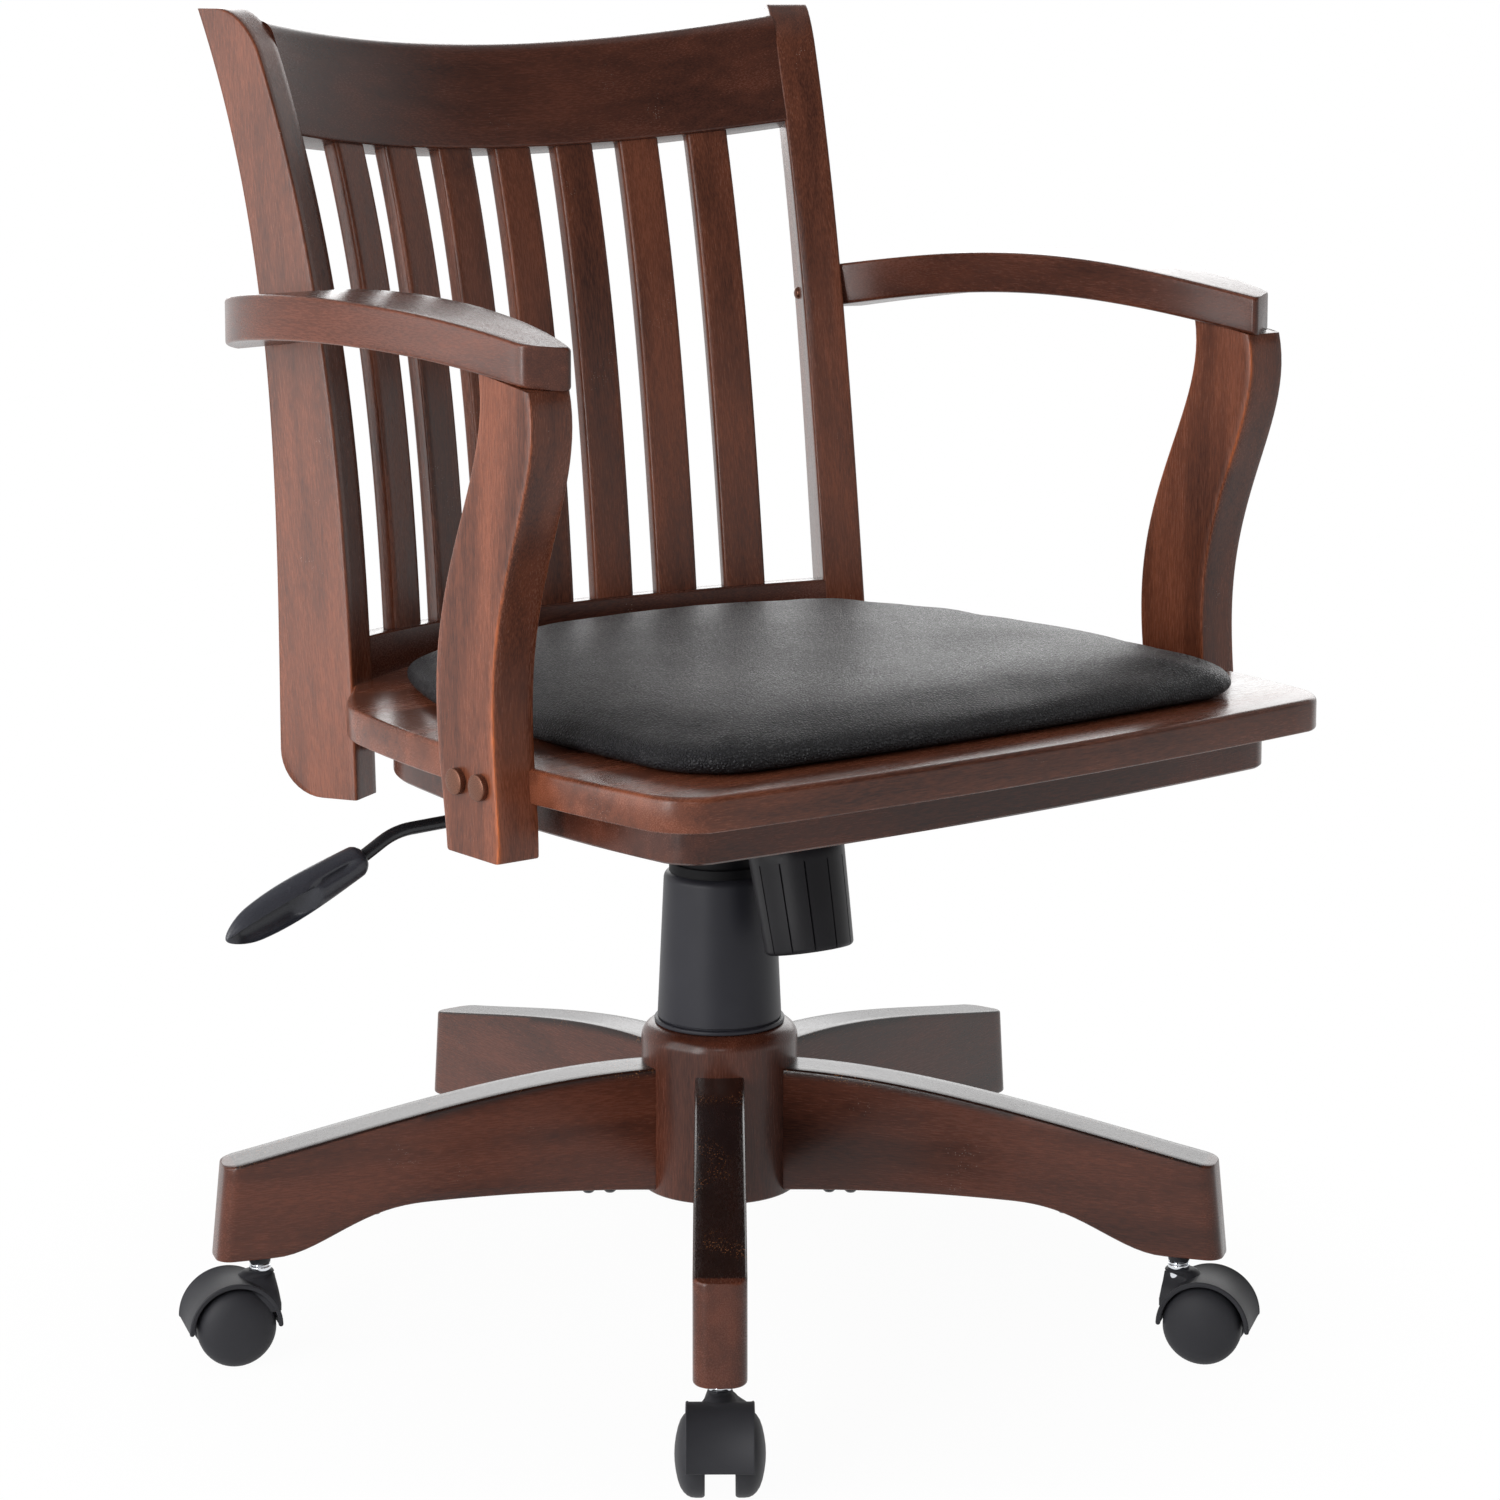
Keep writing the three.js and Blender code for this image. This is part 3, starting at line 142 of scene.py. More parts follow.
NECK_ROWS = (  # height, half width, stem side, far side, corner
    (54.4, 5.6, -6.9, 9, 5.6), (53.9, 6.6, -8, 10.5, 6.5), (53, 7.2, -8.4, 12, 7),
    (51, 8.9, -8.7, 14.5, 8), (49, 10.8, -8.9, 17, 8.6), (47.3, 13.2, -9.1, 19, 8.8),
    (45.6, 15.6, -9.2, 21, 8.6), (43.6, 17.6, -9.3, 22, 7.6), (41, 18.7, -9.4, 23, 6),
    (37, 19, -9.8, 23, 4), (33, 18.8, -9.6, 22, 3),
)

# Column
COVER_WALL = 1.5
COVER_R = 38.8
COVER_TOP_R = 34.8
COVER_TOP = 281.5
COVER_CROWN = 5
COVER_RIM_R = 40.8
COVER_RIM = 3
STAGE_R = 32.6
STAGE_TOP_R = 31.4
STAGE_TOP = 287.4
STAGE_LIP = 0.8
UPPER_R = 29.2
UPPER_TOP_R = 28.2
UPPER_BOTTOM = 220.4
UPPER_TOP = 330.1

# Tension knob
BOLT_LEAN = math.radians(12.7)
EYE_Y = -62.9
EYE_Z = 368.4
KNOB_TOP_R = 29.6
KNOB_FOOT_R = 27.2
KNOB_HIGH = 62
KNOB_DROP = 123.5
KNOB_BORE = 23.5
KNOB_FLOOR = 20
KNOB_GROOVES = 12
KNOB_GROOVE = 1.0
KNOB_BAND = 6.5  # plain band over the grooves
KNOB_ROUND = 3
SPRING_R = 12
SPRING_WIRE = 1.7
SPRING_TURNS = 5
SPRING_FOOT = 94.8  # under the eye, clear of the washer by the knob's travel
SPRING_HEAD = 30.7

# Height lever
LEVER_Y = 8
LEVER_R = 3.9
LEVER_PATH = ((8, 354.4), (-48, 354.4), (-185, 337.5), (-234, 336.4), (-257, 323.9), (-285, 310.5))  # x, z
LEVER_TURN = 11
GRIP_ROOT = (-257, 323.7)
GRIP_TIP = (-349, 288.4)
GRIP_TURN = math.radians(14)
GRIP_HIGHS = (9.2, 11.6, 11.8, 6.2)  # half heights from the collar to the tip
GRIP_THICKS = (8.6, 8.2, 6.6, 4.2)
GRIP_CREASE = 0.12  # height of the waist's crease, as a share of half the grip

# Seat
BOARD_TOP = 405.6
BOARD_THICK = 19.6
BOARD_HALF = 260
BOARD_WIDE_Y = -125
SIDE_BOW = 31
SIDE_REACH = 229
BOARD_FRONT = -297.3
FRONT_BOW = 14.1
FRONT_ROUND = 35
REAR_CORNER_Y = 30
REAR_MEET = (203, 100)
REAR_SIDE = (196, 148)
BOARD_REAR = 194
ARC_SHARE = 0.55
CORNER_SHARE = 0.3
MEET_SHARE = 0.8
TURN_SHARES = (1 / 9, 1 / 2)
APRON_THICK = 24
APRON_INSET = 27.5
APRON_WIDE = 44
APRON_EASE = 1.2
BOARD_ROUND = 3.4
BOARD_EASE = 1.4

# Cushion
CUSHION_SIDE = 37  # inside the board's side
CUSHION_FRONT = 28.5
CUSHION_ROUND = 42
CUSHION_CORNER_Y = -20
CUSHION_MEET = (178, 92)
CUSHION_REAR_SIDE = (150, 112)
CUSHION_REAR = 142
CUSHION_EDGE = 17.5
CUSHION_CROWN = 26.5
CUSHION_DRAW = 5
CUSHION_ROLL = 17
CUSHION_ROLL_Z = 6
CUSHION_ROLL_TURN = math.radians(66)
CUSHION_FULLNESS = 5
PAD_SLACK = 1
PAD_VOXEL = 5 * MM
PAD_HELD = 2.5 * MM
PAD_PRESSURE = 3.5
PAD_STEPS = 20
PAD_CAP = 3 * MM
PAD_SMOOTH = 14

# Back
POST_FOOT = 335.4
POST_TOP = 813.9
POST_XS = (192.9, 190.6, 194.8, 209.2)
POST_YS = (103.2, 117.8, 143.7, 193.2)
POST_DEPTHS = (52.5, 47, 38.6, 33)
POST_WIDE = 27
POST_TOE = math.radians(29.9)
POST_FOOT_ROUND = 28
POST_TOP_ROUND = 28
POST_TOP_SWEEP = 18
CREST_BOTTOM = 736.6
CREST_TOP = 809.6
CREST_SAG = 47
CREST_THICK = 23
CREST_ROUND = 11
RAIL_TOP = 432
RAIL_SAG = 52.4
RAIL_THICK = 22
RAIL_TENON = 0.8
RAIL_SINK = 2  # into the board
SLAT_COUNT = 7
SLAT_PITCH = 49.3
SLAT_WIDE = 28.5
SLAT_THICK = 12
SLAT_SET = 3
SLAT_TENON = 4
SLAT_ROUND = 2.8
BOLT_HEAD_R = 4.2
BOLT_HEAD_Z = 621
BOLT_HEAD_IN = 22
BOLT_HEAD_DOME = 2.4
BOLT_HEAD_RIM = 0.6

# Arms
ARM_OUTER = ((280.7, -192), (296, -60), (335, 70), (247, 160))
ARM_INNER = ((255.8, -206), (224, -100), (262, 85), (200, 146))
ARM_FRONT = -205
ARM_REAR = 150
ARM_TOPS = (638.8, 655.6, 639.4)
ARM_THICKS = (23.1, 27.8)
ARM_ARRIS = 2.2
ARM_BLUNT = 4.5
ARM_NOSE = 0.012  # share of the arm that its blunt front end takes
ARM_POST_OUTER = 281.6
ARM_POST_THICK = 27.7
ARM_POST_FOOT = 353.6
ARM_POST_FRONTS = (-169.3, -164.9, -171.0, -193.4, -200.9)
ARM_POST_REARS = (-118.5, -109.7, -115.9, -141.3, -153.2)
ARM_POST_ROUND = 1.6
ARM_POST_DOME = 1.8
CAP_R = 7.5
CAP_RISE = 4
CAP_Z = 396
CAP_YS = (-153.2, -131.2)

# Studio
WORLD_LIGHT = 0.22
ROOM_BACK = (0.61, 0.79, 0)  # away from the camera
FLOOR_GLOW = 0.96  # under the chair, full white beyond its shade
FLOOR_SHADE = (0.2, 0.55)  # metres
LAMPS = (  # place, size, radiance, what it points at
    ("overhead", (-0.2, 0.2, 2.8), (2.4, 2.0), 0.35, (0, 0, 0.4)),
    ("left", (-1.25, 0.0, 0.8), (1.5, 1.2), 3.0, (0, 0, 0.65)),
    ("strip", (-2.4, -0.9, 1.0), (0.12, 1.8), 24, (0, 0, 0.4)),
    ("front", (-1.6, -2.1, 1.5), (0.7, 0.5), 5, (0, 0, 0.4)),
    ("behind", (2.2, 2.3, 1.35), (3.4, 1.7), 2.2, (0, 0, 0.4)),
)


# Helpers for shapes


def evenly(count):
    return [i / count for i in range(count + 1)]


def quarter(steps):
    """Angles through a quarter turn."""
    return [t * math.pi / 2 for t in evenly(steps)]


def between(value, start, end):
    """How far a value is on its way from start to end, 0 to 1."""
    return min(1, max(0, (value - start) / (end - start)))


def mix(a, b, share):
    return a + (b - a) * share


def through(values, share):
    """The smooth curve through evenly spaced values."""
    last = len(values) - 1
    total = 0
    for i, value in enumerate(values):
        weight = 1
        for j in range(len(values)):
            if j != i:
                weight *= (share * last - j) / (i - j)
        total += value * weight
    return total


def round_off(r, into):
    """How far a quarter round has left its tangent, a distance in from where it starts."""
    return r - math.sqrt(max(0, r * r - into * into))


def rounded(width, height, radius, steps=3):
    """A rectangle's outline with round corners, as [across, up, how much of an edge it is]."""
    points = []
    reach = min(WEAR_REACH, (min(width, height) - 2 * radius) / 3)
    for k, (sx, sy) in enumerate(((1, -1), (1, 1), (-1, 1), (-1, -1))):
        cx, cy = sx * (width / 2 - radius), sy * (height / 2 - radius)
        start, end = math.radians(90) * (k - 1), math.radians(90) * k
        corner = []
        for t in evenly(steps):
            angle = mix(start, end, t)
            rub = mix(WEAR_SPREAD, 1, math.sin(math.pi * t))
            corner.append((cx + radius * math.cos(angle), cy + radius * math.sin(angle), rub))
        if reach > WEAR_LEAST:
            before = (corner[0][0] + reach * math.sin(start), corner[0][1] - reach * math.cos(start), 0)
            after = (corner[-1][0] - reach * math.sin(end), corner[-1][1] + reach * math.cos(end), 0)
            corner = [before, *corner, after]
        points += corner
    return points


def circle(radius, count):
    """A wire's outline, in the form that rounded gives."""
    angles = [2 * math.pi * k / count for k in range(count)]
    return [(radius * math.cos(a), radius * math.sin(a), 0) for a in angles]


def on_frame(outline, centre, across, up):
    return [(centre + across * a + up * b, rub) for a, b, rub in outline]


def flat(points, z, rub=0):
    return [(Vector((x, y, z)), rub) for x, y in points]


def loft(rows, closed=False, capped=True):
    """A skin drawn through rows of [point, edge share], with flat ends."""
    bm = bmesh.new()
    layer = bm.verts.layers.float.new("rub")

    def place(verts, row):
        for vert, (point, rub) in zip(verts, row):
            vert.co = point
            vert[layer] = rub

    if capped and not closed:
        rows = [[(point, 0) for point, _ in rows[0]], *rows[1:-1], [(point, 0) for point, _ in rows[-1]]]
    ring = [bm.verts.new() for _ in rows[0]]
    place(ring, rows[0])
    edges = [bm.edges.new(pair) for pair in zip(ring, ring[1:] + ring[:1])]
    first = list(edges)
    for row in rows[1:] + (rows[:1] if closed else []):
        grown = bmesh.ops.extrude_edge_only(bm, edges=edges)["geom"]
        place([g for g in grown if isinstance(g, BMVert)], row)
        edges = [g for g in grown if isinstance(g, BMEdge)]
    if capped and not closed:
        bmesh.ops.edgeloop_fill(bm, edges=first + edges)
    bmesh.ops.remove_doubles(bm, verts=bm.verts, dist=WELD)
    bmesh.ops.recalc_face_normals(bm, faces=bm.faces)
    return bm


def turned(profile, steps=64):
    """A turned piece round +Z from [radius, height] pairs that start and end on the axis, or close."""
    bm = bmesh.new()
    points = [bm.verts.new((r, 0, z)) for r, z in profile]
    edges = [bm.edges.new(pair) for pair in zip(points, points[1:])]
    round_z = {"angle": 2 * math.pi, "steps": steps, "axis": (0, 0, 1), "cent": (0, 0, 0), "use_merge": True}
    bmesh.ops.spin(bm, geom=points + edges, **round_z)
    bmesh.ops.remove_doubles(bm, verts=bm.verts, dist=WELD)
    bmesh.ops.recalc_face_normals(bm, faces=bm.faces)
    return bm


def arc(centre, radius, start, end, steps):
    """Points on a quarter or other arc, from one angle to another in degrees."""
    angles = [math.radians(mix(start, end, t)) for t in evenly(steps)]
    return [(centre[0] + radius * math.cos(a), centre[1] + radius * math.sin(a)) for a in angles]


def soften(bm, width, above):
    """Rounds every edge that is sharper than an angle."""
    sharp = [e for e in bm.edges if e.is_manifold and e.calc_face_angle(0) > math.radians(above)]
    settings = {"segments": 2, "profile": 0.5, "affect": "EDGES", "clamp_overlap": True, "material": -1}
    bmesh.ops.bevel(bm, geom=sharp, offset=width, **settings)
    return bm


def moved(bm, matrix):
    bmesh.ops.transform(bm, matrix=matrix, verts=bm.verts)
    return bm


def mirrored(bm):
    bmesh.ops.scale(bm, vec=(-1, 1, 1), verts=bm.verts)
    bmesh.ops.reverse_faces(bm, faces=bm.faces)
    return bm


def joined(*shapes):
    """Several shapes as one."""
    whole = bmesh.new()
    whole.verts.layers.float.new("rub")
    for shape in shapes:
        mesh = bpy.data.meshes.new("shape")
        shape.to_mesh(mesh)
        shape.free()
        whole.from_mesh(mesh)
        bpy.data.meshes.remove(mesh)
    return whole


def extra(name, bm, material, carrier):
    """Puts a small piece in the scene that no CAD node has, on the body of the node that carries it."""
    piece = drawn(name, bm, material, None, SMOOTH)
    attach(piece, body_of[carrier])
    return piece


def show(name, bm, material, *stands_for, grain=None, smooth=SMOOTH, wear=WEAR):
    """Puts a shape in the scene, on the body of the CAD nodes that it stands for."""
    rub = bm.verts.layers.float.get("rub")
    for vert in bm.verts if rub else ():
        vert[rub] *= wear
    piece = drawn(name, bm, material, grain, smooth)
    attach(piece, body_of[stands_for[0]])
    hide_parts(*stands_for)
    return piece


def drawn(name, bm, material, grain, smooth):
    """A shape as an object of the scene, in the frame's place.

    grain is the direction of the timber's fibres: the material reads where a point lies along, across
    and through them, with a start of its own for each piece.
    """
    moved(bm, Matrix.Translation((COLUMN_X * MM, COLUMN_Y * MM, 0)) @ Matrix.Scale(MM, 4))
    mesh = bpy.data.meshes.new(name)
    bm.to_mesh(mesh)
    bm.free()
    mesh.shade_smooth()
    mesh.set_sharp_from_angle(angle=math.radians(smooth))
    mesh.materials.append(material)
    if grain is not None:
        along = Vector(grain).normalized()
        across = along.cross(Z if abs(along.z) < 0.9 else X).normalized()
        through_it = along.cross(across)
        start = Vector((random.uniform(0, 9), random.uniform(0, 9), random.uniform(0, 9)))
        layer = mesh.attributes.new("grain", "FLOAT_VECTOR", "POINT")
        for vert, value in zip(mesh.vertices, layer.data):
            p = vert.co
            value.vector = start + Vector((p.dot(along), p.dot(across), p.dot(through_it)))
    piece = bpy.data.objects.new(name, mesh)
    bpy.context.scene.collection.objects.link(piece)
    return piece


# Materials


class Nodes:
    """A short way to write a material's nodes."""

    def __init__(self, tree):
        self.tree = tree

    def add(self, kind, values=None, **settings):
        node = self.tree.nodes.new(kind)
        for key, value in settings.items():
            setattr(node, key, value)
        for key, value in (values or {}).items():
            if isinstance(value, bpy.types.NodeSocket):
                self.tree.links.new(value, node.inputs[key])
            else:
                node.inputs[key].default_value = value
        return node

    def math(self, operation, a, b=0.0, clamp=False):
        return self.add("ShaderNodeMath", {0: a, 1: b}, operation=operation, use_clamp=clamp).outputs[0]

    def blend(self, share, a, b):
        node = self.add("ShaderNodeMix", data_type="RGBA")
        for socket, value in ((node.inputs[0], share), (node.inputs[6], a), (node.inputs[7], b)):
            if isinstance(value, bpy.types.NodeSocket):
                self.tree.links.new(value, socket)
            else:
                socket.default_value = value
        return node.outputs[2]

    def ramp(self, value, low, high, to_low=0.0, to_high=1.0):
        values = {"Value": value, "From Min": low, "From Max": high, "To Min": to_low, "To Max": to_high}
        return self.add("ShaderNodeMapRange", values, interpolation_type="SMOOTHSTEP").outputs[0]

    def noise(self, vector, scale, detail=2.0, roughness=0.5):
        values = {"Vector": vector, "Scale": scale, "Detail": detail, "Roughness": roughness}
        return self.add("ShaderNodeTexNoise", values).outputs[0]

    def stretched(self, vector, scale):
        return self.add("ShaderNodeMapping", {"Vector": vector, "Scale": scale}).outputs[0]

    def put_out(self, out, colour, rough, height):
        for key, value in (("Color", colour), ("Roughness", rough), ("Height", height)):
            self.tree.links.new(value, out.inputs[key])


def rgb(red, green, blue):
    """A colour written as it looks on screen, 0 to 255, in linear light."""
    parts = [c / 255 for c in (red, green, blue)]
    return tuple(c / 12.92 if c <= 0.04045 else ((c + 0.055) / 1.055) ** 2.4 for c in parts) + (1.0,)


def group(name, inputs, outputs):
    """A shader node group with named sockets. Returns it with its input and output nodes."""
    made = bpy.data.node_groups.new(name, "ShaderNodeTree")
    for label, kind, default in inputs:
        socket = made.interface.new_socket(name=label, in_out="INPUT", socket_type=kind)
        if default is not None:
            socket.default_value = default
    for label, kind in outputs:
        made.interface.new_socket(name=label, in_out="OUTPUT", socket_type=kind)
    return made, made.nodes.new("NodeGroupInput"), made.nodes.new("NodeGroupOutput")


def timber_group():
    """Stained close-grained timber: fibres, pores, a clouded stain, rubbed edges, a painted shade with golden
    flecks in it, and dust.
    """
    vector, colour, number = "NodeSocketVector", "NodeSocketColor", "NodeSocketFloat"
    made, given, out = group(
        "timber",
        (
            ("Grain", vector, None),
            ("Rub", number, 0.0),
            ("Glaze", number, 0.0),
            ("Dark", colour, None),
            ("Light", colour, None),
            ("Worn", colour, rgb(186, 96, 46)),
        ),
        (("Color", colour), ("Roughness", number), ("Height", number)),
    )
    n = Nodes(made)
    grain, rub, painted_shade = [given.outputs[key] for key in ("Grain", "Rub", "Glaze")]
    clouds = n.noise(n.stretched(grain, (4.0, 18, 18)), 1.5, 3.0, 0.55)
    bands = n.noise(n.stretched(grain, (5, 150, 110)), 1.0, 3.0, 0.6)
    fibres = n.noise(n.stretched(grain, (110, 1500, 1500)), 1.0, 3.0, 0.65)
    pores = n.noise(n.stretched(grain, (260, 2600, 2600)), 1.0, 2.0, 0.5)
    tone = n.math("ADD", n.ramp(clouds, 0.32, 0.68, 0.1, 0.52), n.ramp(bands, 0.3, 0.72, 0.0, 0.18))
    tone = n.math("ADD", tone, n.ramp(fibres, 0.32, 0.7, -0.1, 0.26), clamp=True)
    body = n.blend(tone, given.outputs["Dark"], given.outputs["Light"])
    fleck = n.ramp(pores, 0.6, 0.7, 0.0, 0.4)
    body = n.blend(fleck, body, rgb(30, 12, 8))
    worn = n.math("MULTIPLY", n.ramp(clouds, 0.42, 0.6, 0.35, 1.0), n.ramp(fibres, 0.38, 0.6, 0.35, 1.0))
    worn = n.math("MULTIPLY", n.ramp(rub, 0.1, 1.0), worn)
    body = n.blend(worn, body, given.outputs["Worn"])
    # painted shade: the wood turns near black where the legs' tops lie under the seat
    body = n.blend(n.math("MULTIPLY", painted_shade, 0.86), body, rgb(20, 11, 9))
    cells = n.add("ShaderNodeTexVoronoi", {"Vector": grain, "Scale": 620.0}).outputs["Distance"]
    sparse = n.noise(grain, 26.0, 2.0)
    # golden flecks, shown only inside the painted shade
    gilt = n.math("MULTIPLY", n.ramp(cells, 0.17, 0.23, 1.0, 0.0), n.ramp(sparse, 0.5, 0.6))
    body = n.blend(n.math("MULTIPLY", gilt, n.math("MULTIPLY", painted_shade, 0.7)), body, rgb(188, 128, 84))
    dust = n.math("MULTIPLY", n.ramp(cells, 0.1, 0.14, 0.5, 0.0), n.ramp(sparse, 0.64, 0.7))
    body = n.blend(dust, body, rgb(214, 200, 190))
    rough = n.math("ADD", n.ramp(fibres, 0.3, 0.72, 0.0, 0.08), n.ramp(clouds, 0.3, 0.7, 0.0, 0.06))
    rough = n.math("ADD", rough, n.math("MULTIPLY", rub, 0.08))
    height = n.math("SUBTRACT", n.math("MULTIPLY", fibres, 0.6), n.math("MULTIPLY", fleck, 0.8))
    n.put_out(out, body, rough, height)
    return made


def moulded_group():
    """Fine moulded or sprayed texture with faint scuffs, on Object coordinates."""
    vector, colour, number = "NodeSocketVector", "NodeSocketColor", "NodeSocketFloat"
    made, given, out = group(
        "moulded",
        (
            ("Vector", vector, None),
            ("Base", colour, None),
            ("Scuff", colour, None),
            ("Grain Scale", number, None),
        ),
        (("Color", colour), ("Roughness", number), ("Height", number)),
    )
    n = Nodes(made)
    place = given.outputs["Vector"]
    fine = n.noise(place, given.outputs["Grain Scale"])
    cloud = n.noise(place, 22.0, 3.0)
    scuffs = n.math("MULTIPLY", n.ramp(n.noise(place, 190.0, 4.0, 0.65), 0.62, 0.74), n.ramp(cloud, 0.5, 0.7))
    tint = n.math("ADD", n.math("MULTIPLY", scuffs, 0.3), n.ramp(cloud, 0.3, 0.75, 0.0, 0.16), clamp=True)
    rough = n.math("ADD", n.math("MULTIPLY", scuffs, 0.12), n.ramp(fine, 0.3, 0.7, 0.0, 0.1))
    n.put_out(out, n.blend(tint, given.outputs["Base"], given.outputs["Scuff"]), rough, fine)
    return made


def surface(name, **constants):
    """A material with its shader: constants are the Principled sockets that are the same all over."""
    made = bpy.data.materials.new(name)
    made.use_nodes = True
    shader = made.node_tree.nodes["Principled BSDF"]
    for key, value in constants.items():
        shader.inputs[key.replace("_", " ")].default_value = value
    return made, Nodes(made.node_tree), shader


def effect(n, made_group, **values):
    node = n.add("ShaderNodeGroup", node_tree=made_group)
    for key, value in values.items():
        socket = node.inputs[key.replace("_", " ")]
        if isinstance(value, bpy.types.NodeSocket):
            n.tree.links.new(value, socket)
        else:
            socket.default_value = value
    return node


def dress(n, shader, made_effect, rough, strength, distance):
    """Feeds an effect's colour, roughness and height to the shader."""
    n.tree.links.new(made_effect.outputs["Color"], shader.inputs["Base Color"])
    n.tree.links.new(n.math("ADD", made_effect.outputs["Roughness"], rough), shader.inputs["Roughness"])
    values = {"Height": made_effect.outputs["Height"], "Strength": strength, "Distance": distance}
    n.tree.links.new(n.add("ShaderNodeBump", values).outputs[0], shader.inputs["Normal"])


def stained_wood(name, dark, light):
    made, n, shader = surface(name, Specular_IOR_Level=0.34)
    grain = n.add("ShaderNodeAttribute", attribute_name="grain").outputs["Vector"]
    rub = n.add("ShaderNodeAttribute", attribute_name="rub").outputs["Fac"]
    # painted shade mask: set on the legs' tops, where the seat above shades them
    painted_shade = n.add("ShaderNodeAttribute", attribute_name="painted_shade").outputs["Fac"]
    fibres = effect(n, TIMBER, Grain=grain, Rub=rub, Glaze=painted_shade, Dark=dark, Light=light)
    dress(n, shader, fibres, 0.18, 0.16, 0.0003)
    return made


def grained_vinyl():
    """Black vinyl with a leather grain: small pillows between fine creases."""
    made, n, shader = surface("grained_vinyl", Specular_IOR_Level=0.33)
    place = n.add("ShaderNodeTexCoord").outputs["Object"]
    bent = n.add("ShaderNodeTexNoise", {"Vector": place, "Scale": 420.0, "Detail": 2.0}).outputs["Color"]
    offset = n.add("ShaderNodeVectorMath", {0: bent, "Scale": 0.0012}, operation="SCALE").outputs[0]
    warped = n.add("ShaderNodeVectorMath", {0: place, 1: offset}, operation="ADD").outputs[0]
    cells = n.add("ShaderNodeTexVoronoi", {"Vector": warped, "Scale": 540.0}, feature="DISTANCE_TO_EDGE")
    pillow = n.ramp(cells.outputs[0], 0.0, 0.34)
    cloud = n.noise(place, 9.0, 3.0)
    fine = n.noise(place, 2400.0, 2.0)
    # painted shade: the colour darkens down into the grain's creases
    colour = n.blend(pillow, rgb(16, 16, 19), rgb(36, 36, 41))
    n.tree.links.new(colour, shader.inputs["Base Color"])
    rough = n.math("ADD", n.ramp(pillow, 0.0, 1.0, 0.14, 0.0), n.ramp(cloud, 0.3, 0.7, 0.3, 0.38))
    n.tree.links.new(rough, shader.inputs["Roughness"])
    height = n.math("ADD", pillow, n.math("MULTIPLY", fine, 0.25))
    bump = n.add("ShaderNodeBump", {"Height": height, "Strength": 1.0, "Distance": 0.0009}).outputs[0]
    n.tree.links.new(bump, shader.inputs["Normal"])
    return made


def skinned(name, base, scuff, rough, strength, scale, **constants):
    made, n, shader = surface(name, **constants)
    place = n.add("ShaderNodeTexCoord").outputs["Object"]
    skin = effect(n, MOULDED, Vector=place, Base=base, Scuff=scuff, Grain_Scale=scale)
    dress(n, shader, skin, rough, strength, 0.0002)
    return made


def plastic(name, base, scuff, rough, strength, level=0.3):
    return skinned(name, base, scuff, rough, strength, 2600.0, Specular_IOR_Level=level)


def metal(name, base, scuff, rough, metallic=1.0):
    return skinned(name, base, scuff, rough, 0.05, 1800.0, Metallic=metallic)


TIMBER = timber_group()
MOULDED = moulded_group()
WOOD = stained_wood("stained_wood", rgb(52, 25, 17), rgb(134, 76, 53))
# painted shade: a darker copy of the same stain, for the legs, hub, apron, rails and arms
WOOD_SHADED = stained_wood("stained_wood_shaded", rgb(42, 20, 14), rgb(104, 57, 41))
VINYL = grained_vinyl()
COVER = plastic("column_cover", rgb(39, 39, 45), rgb(66, 67, 74), 0.38, 0.06, level=0.26)
# painted shade: a near-black copy of the cover plastic, for the sleeves that lie in shade under the seat
COVER_SHADED = plastic("column_cover_shaded", rgb(15, 15, 17), rgb(30, 30, 33), 0.5, 0.06, level=0.12)
MOULDING = plastic("black_moulding", rgb(38, 38, 42), rgb(66, 67, 72), 0.52, 0.14)
KNOB = plastic("knob_moulding", rgb(18, 17, 21), rgb(54, 54, 58), 0.36, 0.12, level=0.22)
GRIP = plastic("black_grip", rgb(42, 43, 49), rgb(86, 88, 97), 0.26, 0.08, level=0.4)
BLACK_STEEL = metal("black_steel", rgb(28, 29, 32), rgb(64, 65, 69), 0.22, 0.3)
CHROME = metal("chrome", rgb(222, 225, 230), rgb(196, 200, 206), 0.06)
STEEL = metal("zinc_steel", rgb(168, 171, 176), rgb(140, 143, 148), 0.26)
BRONZE = metal("bronzed_cap", rgb(104, 66, 50), rgb(140, 94, 70), 0.24, 0.65)


# Base


def leg_angle(i):
    return FIRST_LEG + 2 * math.pi * i / LEG_COUNT


def leg_top(r):
    return through(LEG_TOPS, (r - HUB_R) / (LEG_TIP_R - HUB_R))


def leg_under(r):
    if r < LEG_CREST_R:
        back = (LEG_CREST_R - r) / (LEG_CREST_R - HUB_R)
        return LEG_CREST - (LEG_CREST - LEG_ROOT) * back * back
    run = between(r, LEG_COVE_R, LEG_PAD_R) ** COVE_SKEW
    return mix(LEG_PAD, LEG_CREST, (1 + math.cos(math.pi * run)) / 2)


def leg_row(r):
    into = max(0, r - (LEG_TIP_R - LEG_TIP_ROUND))
    wide = LEG_THICK - 2 * round_off(LEG_TIP_ROUND, into)
    low, high = leg_under(r), leg_top(r)
    tip_high = leg_top(LEG_TIP_R) - LEG_PAD
    row = on_frame(rounded(wide, high - low, ARRIS), Z * ((low + high) / 2), Y, Z)
    for point, _ in row:
        point.x = r - (point.z - LEG_PAD) / tip_high * LEG_TIP_LEAN * r / LEG_TIP_R
    return row


